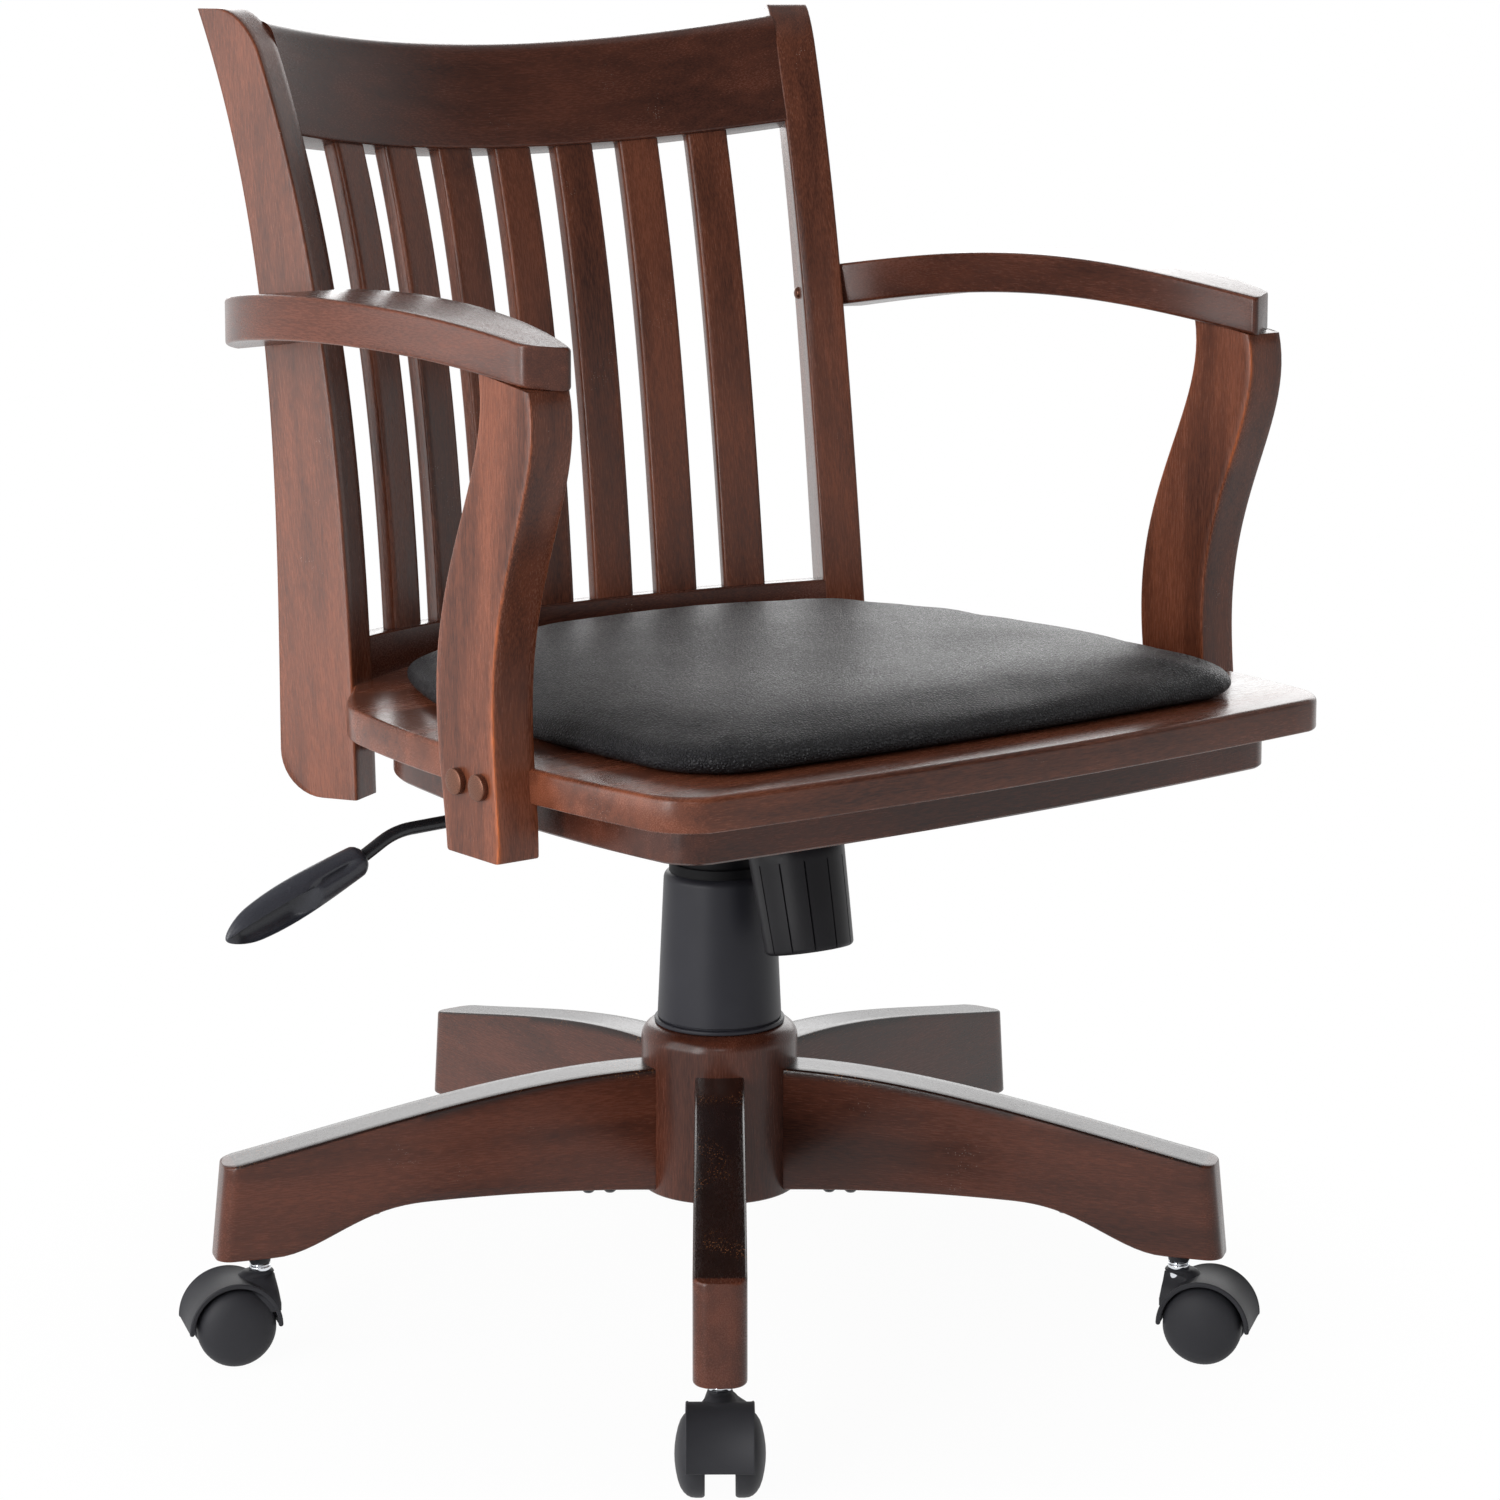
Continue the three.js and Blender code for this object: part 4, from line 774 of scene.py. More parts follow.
def add_legs():
    stations = [mix(HUB_R - LEG_SINK, LEG_TIP_R - LEG_TIP_ROUND, t) for t in evenly(44)]
    stations += [LEG_TIP_R - LEG_TIP_ROUND * (1 - math.sin(a)) for a in quarter(7)[1:]]
    for i in range(LEG_COUNT):
        leg = soften(loft([leg_row(r) for r in stations]), 1.2, 60)
        # painted shade: each leg's top, short of its tip, is marked to be darkened, as the seat above shades
        # it
        painted_shade = leg.verts.layers.float.new("painted_shade")
        for vert in leg.verts:
            on_top = vert.co.z > leg_top(vert.co.x) - 1.5 * ARRIS
            vert[painted_shade] = float(on_top and vert.co.x < LEG_TIP_R - 2 * LEG_TIP_LEAN)
        angle = leg_angle(i)
        turn = Matrix.Rotation(angle, 4, "Z")
        name = "leg_%d" % (i + 1)
        show("wood_" + name, moved(leg, turn), WOOD_SHADED, name, grain=(math.cos(angle), math.sin(angle), 0))
        extra("leg_screws_%d" % (i + 1), moved(leg_screws(), turn), BLACK_STEEL, name)


def leg_screws():
    """The heads of the screws that hold a leg, under it along +X."""
    collar = SCREW_R + 1.2
    profile = [(0, 0.5), (collar, 0.5), (collar, -0.8), (SCREW_R, -1), (SCREW_R, -3.6)]
    profile += [(SCREW_R - 1.4, -SCREW_RISE), (0, -SCREW_RISE - 0.3)]
    places = [Matrix.Translation((r, 0, leg_under(r))) for r in LEG_SCREW_RS]
    return joined(*[moved(turned(profile, 24), place) for place in places])


def add_hub():
    top = arc((HUB_R - HUB_SHOULDER, HUB_TOP - HUB_SHOULDER), HUB_SHOULDER, 0, 90, 8)
    foot = arc((HUB_R - ARRIS, HUB_BOTTOM + ARRIS), ARRIS, -90, 0, 4)
    hub = turned([(HUB_BORE, HUB_BOTTOM)] + foot + top + [(HUB_BORE, HUB_TOP), (HUB_BORE, HUB_BOTTOM)], 96)
    show("wood_hub", hub, WOOD_SHADED, "hub", grain=Z)


# Casters, each drawn under its stem with the wheels trailing along +X


def caster_stem():
    """The grip stem with its two chromed rings."""
    neck = STEM_R + 0.4
    groove = mix(COLLAR_FOOT, COLLAR_TOP, 0.66)
    profile = [(0, STEM_BOTTOM), (STEM_R, STEM_BOTTOM), (STEM_R, COLLAR_FOOT)]
    profile += arc((COLLAR_R - 1, COLLAR_FOOT + 1), 1, -90, 0, 4)
    profile += arc((COLLAR_R - 0.8, groove - 0.8), 0.8, 0, 90, 4) + [(neck, groove), (neck, groove + 0.3)]
    profile += arc((COLLAR_R - 1, groove + 0.9), 0.7, -60, 0, 3)
    profile += arc((COLLAR_R - 1, COLLAR_TOP - 0.7), 0.7, 0, 90, 4)
    profile += [(STEM_R, COLLAR_TOP), (STEM_R, STEM_TOP - 1), (STEM_R - 1, STEM_TOP), (0, STEM_TOP)]
    return turned(profile, 40)


def caster_bushing():
    """The moulded socket's foot, which shows between the leg and the collar."""
    bore, low, high = STEM_R + 0.15, COLLAR_TOP + 0.2, LEG_PAD - 0.1
    profile = [(bore, low)] + arc((BUSHING_R - 1.1, low + 0.6), 0.6, -90, 0, 3)
    profile += [(BUSHING_R, high - 1.5), (BUSHING_R + 0.6, high), (bore, high), (bore, low)]
    return turned(profile, 40)


def caster_wheels():
    """Two domed wheels on one axle."""
    half = [(AXLE_R, WHEEL_SECTION[0][0])] + [(r, y) for y, r in WHEEL_SECTION]
    profile = [(r, -y) for r, y in reversed(half)] + half
    wheels = turned(profile, 72)
    return moved(wheels, Matrix.Translation((WHEEL_TRAIL, 0, WHEEL_R)) @ Matrix.Rotation(math.pi / 2, 4, "X"))


def caster_hood():
    """A fender band with beaded rims, the web between the wheels and the neck that takes the stem."""
    half, deep = HOOD_WIDTH / 2, HOOD_WALL
    side = [(-deep, half - 2.2), (-deep - 0.4, half - 1.2), (-deep - 0.3, half - 0.3), (-deep + 0.3, half)]
    side += [(-0.3, half), (HOOD_BEAD, half - 0.5), (HOOD_BEAD, half - 1.2), (0, half - 1.8)]
    section = side + [(a, -b) for a, b in reversed(side)]

    def band_row(angle):
        out = Vector((math.cos(angle), 0, math.sin(angle)))
        to_end = min(angle - HOOD_END, HOOD_LIP - angle) * HOOD_R
        thin = 1 - 0.5 * round_off(1, max(0, 1 - to_end / 1.6))
        heights = [HOOD_R - deep / 2 + (a + deep / 2) * thin for a, _ in section]
        return [(Vector((HOOD_X, b, WHEEL_R)) + out * high, 0) for high, (_, b) in zip(heights, section)]

    ends = [0, 0.25, 0.6, 1, 1.6]
    span = HOOD_LIP - HOOD_END
    angles = [HOOD_END + e / HOOD_R for e in ends]
    angles += [mix(HOOD_END, HOOD_LIP, t) for t in evenly(56)[2:55]]
    angles += [HOOD_LIP - e / HOOD_R for e in reversed(ends)]
    band = loft([band_row(angle) for angle in angles])

    low = math.degrees(HOOD_END)
    disc = arc((HOOD_X, WHEEL_R), HOOD_R - deep / 2, low + 1, 179, 40)
    web = loft([[(Vector((x, y, z)), 0) for x, z in disc] for y in (-WEB_HALF, WEB_HALF)])

    def neck_row(z, wide, start, end, corner):
        middle = Vector(((start + end) / 2, 0, z))
        return on_frame(rounded(end - start, 2 * wide, corner, 6), middle, X, Y)

    neck = loft([neck_row(*row) for row in NECK_ROWS])
    return joined(band, web, neck)


def add_casters():
    for i in range(LEG_COUNT):
        turn = leg_angle(i)
        place = Matrix.Rotation(turn, 4, "Z") @ Matrix.Translation((CASTER_R, 0, 0))
        for kind, shape, material in (
            ("caster_stem", caster_stem(), CHROME),
            ("caster_hood", caster_hood(), MOULDING),
            ("caster_wheels", caster_wheels(), MOULDING),
        ):
            node = "%s_%d" % (kind, i + 1)
            show("fine_" + node, moved(shape, place), material, node)
        bushing = moved(caster_bushing(), place)
        extra("caster_bushing_%d" % (i + 1), bushing, MOULDING, "leg_%d" % (i + 1))


# Column


def sleeve(r0, r1, z0, z1):
    """A drawn-in sleeve with a rolled top edge."""
    half, start = COVER_WALL / 2, (r0 - COVER_WALL, z0)
    turn = [math.pi * t for t in evenly(6)]
    lip = [(r1 - half + half * math.cos(a), z1 - STAGE_LIP + STAGE_LIP * math.sin(a)) for a in turn]
    return [start, (r0, z0)] + lip + [start]


def add_column():
    foot = HUB_TOP + JOINT
    over = foot + COVER_RIM
    inner, groove, crown = COVER_R - 3, COVER_R - 0.9, COVER_CROWN
    rim = [(inner, foot)] + arc((COVER_RIM_R - 0.6, foot + 0.6), 0.6, -90, 0, 3)
    rim += arc((COVER_RIM_R - 1, over - 1.4), 1, 0, 80, 4)
    rim += [(COVER_R + 0.2, over - 0.3), (inner, over - 0.3), (inner, foot)]
    start = (COVER_R - COVER_WALL, foot + 1)
    body = [start, (groove, foot + 1), (groove, over + 0.3), (COVER_R, over + 0.9)]
    body += [(mix(COVER_R, COVER_TOP_R, t), mix(over + 1, COVER_TOP - crown, t)) for t in evenly(6)[1:]]
    body += arc((COVER_TOP_R - crown, COVER_TOP - crown), crown, 0, 90, 8)[1:]
    body += [(COVER_TOP_R - crown + 3.4, COVER_TOP - 2), (COVER_TOP_R - COVER_WALL, COVER_TOP - 9), start]
    show("cover_shell", joined(turned(rim, 96), turned(body, 96)), COVER, "cover_lower")
    # the two inner sleeves take the plastic with painted shade
    stage = turned(sleeve(STAGE_R, STAGE_TOP_R, foot, STAGE_TOP), 80)
    show("cover_stage", stage, COVER_SHADED, "cover_middle")
    upper = turned(sleeve(UPPER_R, UPPER_TOP_R, UPPER_BOTTOM, UPPER_TOP), 80)
    show("cover_inner", upper, COVER_SHADED, "cover_upper")


# Tension knob and height lever

ON_BOLT = Matrix.Translation((0, EYE_Y, EYE_Z)) @ Matrix.Rotation(-BOLT_LEAN, 4, "X")


def add_knob():
    """A cup with narrow grooves, which end under a plain band."""
    shares = ((-0.034, 0), (-0.02, 0.75), (0, 1), (0.02, 0.75), (0.034, 0))
    shares += tuple((share, 0) for share in (0.18, 0.34, 0.5, 0.66, 0.82))

    def ring(r, z, depth):
        row = []
        for i in range(KNOB_GROOVES):
            for share, sunk in shares:
                angle = 2 * math.pi * (i + share) / KNOB_GROOVES
                radius = r - depth * sunk
                row.append((Vector((radius * math.cos(angle), radius * math.sin(angle), z)), 0))
        return row

    rows = []
    for a in quarter(6):
        r = KNOB_FOOT_R - KNOB_ROUND + KNOB_ROUND * math.sin(a)
        rows.append(ring(r, KNOB_ROUND * (1 - math.cos(a)), KNOB_GROOVE * math.sin(a) ** 2))
    end = KNOB_HIGH - KNOB_BAND
    for z, depth in ((end * 0.5, 1), (end - 1.2, 1), (end - 0.4, 0.6), (end, 0), (KNOB_HIGH - 1, 0)):
        rows.append(ring(mix(KNOB_FOOT_R, KNOB_TOP_R, z / KNOB_HIGH), z, KNOB_GROOVE * depth))
    rows += [ring(KNOB_TOP_R - 0.3, KNOB_HIGH - 0.3, 0), ring(KNOB_TOP_R - 1, KNOB_HIGH, 0)]
    rim = [point.xy.normalized() * KNOB_BORE for point, _ in rows[-1]]
    rows += [flat(rim, KNOB_HIGH), flat(rim, KNOB_FLOOR)]
    knob = moved(loft(rows), ON_BOLT @ Matrix.Translation((0, 0, -KNOB_DROP)))
    show("fluted_knob", knob, KNOB, "tension_knob", smooth=28)


def add_spring():
    """The coil on the eye bolt, drawn at rest on a mesh of its own; the real coil flattens against the
    housing's floor as the seat tilts.
    """
    rows = []
    for t in evenly(SPRING_TURNS * 24):
        angle = 2 * math.pi * SPRING_TURNS * t
        out = Vector((math.cos(angle), math.sin(angle), 0))
        middle = out * SPRING_R - Z * mix(SPRING_FOOT, SPRING_HEAD, t)
        rows.append(on_frame(circle(SPRING_WIRE, 10), middle, out, Z))
    coil = show("coil_spring", moved(loft(rows), ON_BOLT), STEEL, "tension_spring")
    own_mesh(coil)


def lever_points():
    """The rod's middle line, with each bend rounded."""
    corners = [Vector((x, LEVER_Y, z)) for x, z in LEVER_PATH]
    points = [corners[0]]
    for before, corner, after in zip(corners, corners[1:], corners[2:]):
        start = corner + (before - corner).normalized() * LEVER_TURN
        end = corner + (after - corner).normalized() * LEVER_TURN
        for t in evenly(6):
            points.append(start * (1 - t) ** 2 + corner * 2 * t * (1 - t) + end * t ** 2)
    return points + [corners[-1]]


def add_lever():
    points = lever_points()
    rows = []
    for i, point in enumerate(points):
        along = (points[min(i + 1, len(points) - 1)] - points[max(i - 1, 0)]).normalized()
        rows.append(on_frame(circle(LEVER_R, 20), point, Y, along.cross(Y)))
    show("bent_lever", soften(loft(rows), 0.8, 60), BLACK_STEEL, "lever_rod")


def grip_section(t):
    """The grip's outline as [ahead, up] from the collar to the tip: a round spine over a scooped blade."""
    closing, opening = between(t, 0.78, 1), 1 - between(t, 0, 0.05)
    shrink = math.sqrt(max(0, 1 - closing ** 2.4)) * (1 - 0.3 * opening ** 2)
    high, thick = through(GRIP_HIGHS, t) * shrink, through(GRIP_THICKS, t) * shrink
    scoop = between(t, 0.34, 0.56)
    scoop = scoop * scoop * (3 - 2 * scoop) * between(t, 1, 0.88)
    waist = between(t, 0.06, 0.16) * (1 - between(t, 0.3, 0.44))
    points = []
    for k in range(56):
        angle = 2 * math.pi * (k + 0.5) / 56
        ahead, rise = math.cos(angle), math.sin(angle)
        lobe = math.exp(-((rise - GRIP_CREASE) / 0.16) ** 2) if ahead > 0 else 0
        front = thick * ahead * (1 - 0.34 * waist * lobe)
        if ahead > 0:
            blade = thick * (0.35 * ((rise + 0.42) / 0.58) ** 2 - 0.5)
            front = mix(front, blade, scoop * between(rise, 0.16, 0.06) * between(rise, -0.97, -0.87))
        points.append((front, high * rise, 0))
    return points


def add_grip():
    root, tip = [Vector((x, LEVER_Y, z)) for x, z in (GRIP_ROOT, GRIP_TIP)]
    along = (tip - root).normalized()
    turn = Matrix.Rotation(GRIP_TURN, 3, along)
    forward, up = turn @ -Y, turn @ along.cross(-Y)
    stations = [0, 0.006, 0.02, 0.04] + evenly(48)[3:43]
    stations += [0.905, 0.925, 0.945, 0.96, 0.973, 0.984, 0.992, 0.998]
    grip = [on_frame(grip_section(t), root.lerp(tip, t), forward, up) for t in stations]
    grip.insert(0, [(root.lerp(point, 0.62), rub) for point, rub in grip[0]])
    show("scooped_grip", loft(grip), GRIP, "lever_grip", smooth=42)


# Seat


def seat_side(half, y):
    return half - SIDE_BOW * ((y - BOARD_WIDE_Y) / SIDE_REACH) ** 2


def seat_front(front, x):
    return front + FRONT_BOW * (x / BOARD_HALF) ** 2


def bezier(points, t):
    a, b, c, d = [Vector(p) for p in points]
    s = 1 - t
    return a * s ** 3 + b * 3 * s * s * t + c * 3 * s * t * t + d * t ** 3


def seat_outline(half, front, round_r, corner_y, meet, rear_side, rear):
    """From the front's middle round the right side to the rear's middle, and its mirror image."""
    side_start = (seat_side(half, front + round_r), front + round_r)
    front_end = (half - round_r, seat_front(front, half - round_r))
    tip = (seat_side(half, front), seat_front(front, half))
    pull = lambda p: (mix(p[0], tip[0], ARC_SHARE), mix(p[1], tip[1], ARC_SHARE))
    corner = (front_end, pull(front_end), pull(side_start), side_start)
    side_end = (seat_side(half, corner_y), corner_y)
    reach = meet[1] - corner_y
    first, second = [mix(side_end[0], meet[0], share) for share in TURN_SHARES]
    turn = (side_end, (first, corner_y + reach / 3), (second, corner_y + 2 * reach / 3), meet)
    right = [(t * front_end[0], seat_front(front, t * front_end[0])) for t in evenly(14)]
    right += [tuple(bezier(corner, t)) for t in evenly(12)[1:]]
    side_ys = [mix(side_start[1], corner_y, t) for t in evenly(14)[1:]]
    right += [(seat_side(half, y), y) for y in side_ys]
    right += [tuple(bezier(turn, t)) for t in evenly(10)[1:]]
    right += [(rear_side[0] * (1 - t), mix(rear_side[1], rear, 1 - (1 - t) ** 2)) for t in evenly(14)]
    return right + [(-x, y) for x, y in reversed(right[1:-1])]


def board_outline(inset):
    return seat_outline(
        BOARD_HALF - inset,
        BOARD_FRONT + inset,
        max(FRONT_ROUND - CORNER_SHARE * inset, ARRIS),
        REAR_CORNER_Y - inset / 2,
        (REAR_MEET[0] - MEET_SHARE * inset, REAR_MEET[1] - inset / 2),
        (REAR_SIDE[0] - inset, REAR_SIDE[1] - inset / 2),
        BOARD_REAR - inset,
    )


def cushion_outline(inset):
    return seat_outline(
        BOARD_HALF - CUSHION_SIDE - inset,
        BOARD_FRONT + CUSHION_FRONT + inset,
        CUSHION_ROUND - CORNER_SHARE * inset,
        CUSHION_CORNER_Y,
        (CUSHION_MEET[0] - inset, CUSHION_MEET[1] - inset / 2),
        (CUSHION_REAR_SIDE[0] - inset, CUSHION_REAR_SIDE[1] - inset),
        CUSHION_REAR - inset,
    )


def add_seat():
    low = BOARD_TOP - BOARD_THICK
    rows = []
    for a in quarter(3):
        outline = board_outline(BOARD_EASE * (1 - math.sin(a)))
        rows.append(flat(outline, low + BOARD_EASE * (1 - math.cos(a)), math.sin(2 * a)))
    for a in quarter(5):
        outline = board_outline(BOARD_ROUND * (1 - math.cos(a)))
        rows.append(flat(outline, BOARD_TOP - BOARD_ROUND * (1 - math.sin(a)), math.sin(2 * a)))
    show("wood_board", loft(rows), WOOD, "seat_board", grain=X, smooth=40)

    top = low - JOINT
    foot = top - APRON_THICK
    outer, inner, ease = APRON_INSET, APRON_INSET + APRON_WIDE, APRON_EASE
    section = ((outer, top), (outer, foot + ease), (outer + ease, foot), (inner, foot), (inner, top))
    apron = loft([flat(board_outline(inset), z) for inset, z in section], closed=True)
    show("wood_apron", apron, WOOD_SHADED, "seat_apron", grain=X, smooth=40)


def cushion_shape(slack):
    """The vinyl pad: a drawn-in foot, a rolled edge and a crown, drawn in by a slack before it is filled."""
    foot = BOARD_TOP + JOINT

    def row(inset, z):
        return flat(cushion_outline(inset + slack), foot + z)

    rows = [row(CUSHION_DRAW * share, z) for share, z in ((1, 0), (0.55, 1.4), (0.25, 3.2), (0.06, 5))]
    rise = CUSHION_EDGE - CUSHION_ROLL_Z
    for t in evenly(9):
        a = t * CUSHION_ROLL_TURN
        z = CUSHION_ROLL_Z + rise * math.sin(a) / math.sin(CUSHION_ROLL_TURN)
        rows.append(row(CUSHION_ROLL * (1 - math.cos(a)), z))
    rim = [point for point, _ in rows[-1]]
    middle = Vector((0, (BOARD_FRONT + CUSHION_REAR) / 2, 0))
    crown = CUSHION_CROWN - CUSHION_EDGE - slack / 2
    for t in [t * t for t in evenly(18)[1:-1]] + [0.95]:
        top = foot + CUSHION_EDGE + crown * (1 - (1 - t) ** CUSHION_FULLNESS)
        rows.append([(Vector((p.x, p.y, top)), 0) for p in (point.lerp(middle, t) for point in rim)])
    return loft(rows)


def settle(piece):
    """Applies the piece's modifiers."""
    made = bpy.data.meshes.new_from_object(piece.evaluated_get(bpy.context.evaluated_depsgraph_get()))
    piece.modifiers.clear()
    piece.data = made


def fill_pad(piece):
    """Blows the pad up a little by cloth simulation, with its foot held on the board."""
    voxels = piece.modifiers.new("voxels", "REMESH")
    voxels.mode = "VOXEL"
    voxels.voxel_size = PAD_VOXEL
    settle(piece)
    foot = min(vert.co.z for vert in piece.data.vertices)
    held = piece.vertex_groups.new(name="foot")
    held.add([v.index for v in piece.data.vertices if v.co.z < foot + PAD_HELD], 1, "REPLACE")
    before = [vert.co.copy() for vert in piece.data.vertices]
    cloth = piece.modifiers.new("cloth", "CLOTH")
    cloth.settings.vertex_group_mass = held.name
    cloth.settings.use_pressure = True
    cloth.settings.uniform_pressure_force = PAD_PRESSURE
    cloth.settings.effector_weights.gravity = 0
    for step in range(1, PAD_STEPS + 1):
        bpy.context.scene.frame_set(step)
    settle(piece)
    bpy.context.scene.frame_set(1)
    for vert, start in zip(piece.data.vertices, before):
        move = vert.co - start
        if move.length > PAD_CAP:
            vert.co = start + move * (PAD_CAP / move.length)
    smoother = piece.modifiers.new("smoother", "SMOOTH")
    smoother.iterations = PAD_SMOOTH
    finer = piece.modifiers.new("finer", "SUBSURF")
    finer.levels = finer.render_levels = 1
    settle(piece)
    piece.vertex_groups.clear()
    piece.data.shade_smooth()


def add_cushion():
    shape = cushion_shape(PAD_SLACK)
    cushion = show("vinyl_cushion", shape, VINYL, "seat_cushion", smooth=60)
    fill_pad(cushion)


# Back


def post_share(z):
    return (z - POST_FOOT) / (POST_TOP - POST_FOOT)


def post_x(z):
    return through(POST_XS, post_share(z))


def post_y(z):
    return through(POST_YS, post_share(z))


POST_ACROSS = Vector((math.cos(POST_TOE), -math.sin(POST_TOE), 0))
POST_BACK = Vector((math.sin(POST_TOE), math.cos(POST_TOE), 0))


def post_row(z):
    foot_in = round_off(POST_FOOT_ROUND, max(0, POST_FOOT + POST_FOOT_ROUND - z))
    front = POST_TOP_SWEEP * round_off(1, between(z, POST_TOP - POST_TOP_ROUND, POST_TOP))
    rear = through(POST_DEPTHS, post_share(z)) - foot_in
    centre = Vector((post_x(z), post_y(z), z)) + POST_BACK * ((front + rear) / 2)
    return on_frame(rounded(POST_WIDE, rear - front, ARRIS), centre, POST_ACROSS, POST_BACK)


def add_posts():
    zs = [POST_FOOT + POST_FOOT_ROUND * (1 - math.cos(a)) for a in quarter(10)]
    top_zs = [POST_TOP - POST_TOP_ROUND * (1 - math.sin(a)) for a in quarter(10)]
    zs += [mix(zs[-1], top_zs[0], t) for t in evenly(44)[1:44]] + top_zs
    for side in ("right", "left"):
        post = soften(loft([post_row(z) for z in zs]), 1.4, 50)
        head = arm_bolt_head()
        if side == "left":
            mirrored(post)
            mirrored(head)
        extra("arm_bolt_head_" + side, head, BRONZE, "back_post_" + side)
        show("wood_back_post_" + side, post, WOOD, "back_post_" + side, grain=(0, 0.14, 1))


def arm_bolt_head():
    """The domed head of the bolt that holds an arm, on its back post's inner face."""
    r, rim, dome = BOLT_HEAD_R, BOLT_HEAD_RIM, BOLT_HEAD_DOME
    profile = [(0, -rim), (r, -rim), (r, rim)]
    profile += [(r * math.cos(a), rim + dome * math.sin(a)) for a in quarter(6)[1:]]
    spot = Vector((post_x(BOLT_HEAD_Z), post_y(BOLT_HEAD_Z), BOLT_HEAD_Z))
    spot += POST_BACK * BOLT_HEAD_IN - POST_ACROSS * (POST_WIDE / 2)
    inwards = (-POST_ACROSS).to_track_quat("Z", "Y").to_matrix().to_4x4()
    return moved(turned(profile, 32), Matrix.Translation(spot) @ inwards)


def back_frame(s, z, depth):
    """A place on the bowed plane between the posts, s from -1 to 1, and the directions there."""
    span = post_x(z) - POST_WIDE / 2 * math.cos(POST_TOE)
    ends = post_y(z) + POST_WIDE / 2 * math.sin(POST_TOE)
    step = POST_TOP_ROUND
    lean = math.atan((post_y(z + step) - post_y(z - step)) / (2 * step))
    sag = mix(RAIL_SAG, CREST_SAG, (z - RAIL_TOP) / (CREST_BOTTOM - RAIL_TOP))
    down = Vector((0, math.cos(lean), -math.sin(lean)))
    back = (Vector((2 * sag * s, 0, 0)) + down * span).normalized()
    across = (Vector((span, 0, 0)) - down * (2 * sag * s)).normalized()
    point = Vector((s * span, ends, z)) + down * (sag * (1 - s * s)) + back * depth
    return point, across, back


def rail(section):
    """A bowed rail from a section of [height, depth, edge share]."""
    reach = 1 + RAIL_TENON / POST_XS[0]
    rows = []
    for t in evenly(48):
        s = mix(-reach, reach, t)
        rows.append([(back_frame(s, z, depth)[0], rub) for z, depth, rub in section])
    return loft(rows)


def rail_arris(z, up, depth, back):
    """The rounded edge at a rail's corner: up and back, 1 or -1, lead into the timber."""
    return [
        (z + up * ARRIS * (1 - math.sin(a)), depth + back * ARRIS * (1 - math.cos(a)), math.sin(2 * a))
        for a in quarter(4)
    ]


def add_rails():
    half = CREST_THICK / 2
    crest = rail_arris(CREST_BOTTOM, 1, 0, 1) + rail_arris(CREST_BOTTOM, 1, CREST_THICK, -1)[::-1]
    for a in [math.pi * t for t in evenly(12)]:
        crest.append((CREST_TOP - CREST_ROUND * (1 - math.sin(a)), half + half * math.cos(a), 0))
    show("wood_crest_rail", rail(crest), WOOD_SHADED, "crest_rail", grain=X)

    low = BOARD_TOP - RAIL_SINK
    lower = [(low, 0, 0), (low, RAIL_THICK, 0)] + rail_arris(RAIL_TOP, -1, RAIL_THICK, -1)
    lower += rail_arris(RAIL_TOP, -1, 0, 1)[::-1]
    show("wood_lower_rail", rail(lower), WOOD_SHADED, "lower_rail", grain=X)


def add_slats():
    for i in range(SLAT_COUNT):
        place = (i - (SLAT_COUNT - 1) / 2) * SLAT_PITCH / post_x(CREST_BOTTOM)
        rows = []
        for t in evenly(28):
            z = mix(RAIL_TOP - SLAT_TENON, CREST_BOTTOM + SLAT_TENON, t)
            point, across, back = back_frame(place, z, SLAT_SET + SLAT_THICK / 2)
            rows.append(on_frame(rounded(SLAT_WIDE, SLAT_THICK, SLAT_ROUND, 4), point, across, back))
        name = "slat_%d" % (i + 1)
        show("wood_" + name, loft(rows), WOOD, name, grain=(0, 0.16, 1))


# Arms


def arm_share(y):
    return (y - ARM_FRONT) / (ARM_REAR - ARM_FRONT)


def arm_top(y):
    return through(ARM_TOPS, arm_share(y))


def arm_under(y):
    return arm_top(y) - mix(*ARM_THICKS, arm_share(y))


def arm_row(t, close=0.0):
    """A section of the arm, square to its middle line, drawn in near its front end."""
    outer, inner = bezier(ARM_OUTER, t), bezier(ARM_INNER, t)
    wide = (outer - inner).length
    y = (outer.y + inner.y) / 2
    high = arm_top(y) - arm_under(y)
    row = []
    for a, b, rub in rounded(wide - 2 * close, high, ARM_ARRIS, 4):
        share = a / wide + 0.5
        spot = inner.lerp(outer, share)
        middle = (arm_top(spot.y) + arm_under(spot.y)) / 2
        row.append((Vector((spot.x, spot.y, middle + b)), rub))
    return row


def add_arms():
    for side in ("right", "left"):
        rows = [arm_row(ARM_NOSE * (1 - math.cos(a)), ARM_BLUNT * (1 - math.sin(a))) for a in quarter(6)[:-1]]
        rows += [arm_row(mix(ARM_NOSE, 1, t)) for t in evenly(60)]
        arm = soften(loft(rows), 0.8, 60)
        post = soften(arm_post(), 0.5, 50)
        caps = [cap(y) for y in CAP_YS]
        if side == "left":
            for shape in (arm, post, *caps):
                mirrored(shape)
        show("wood_arm_" + side, arm, WOOD_SHADED, "arm_" + side, grain=Y)
        show("wood_arm_post_" + side, post, WOOD, "arm_post_" + side, grain=Z, wear=POST_WEAR)
        for end, shape in zip(("front", "rear"), caps):
            name = "arm_bolt_%s_%s" % (end, side)
            show("cap_" + name, shape, BRONZE, name)


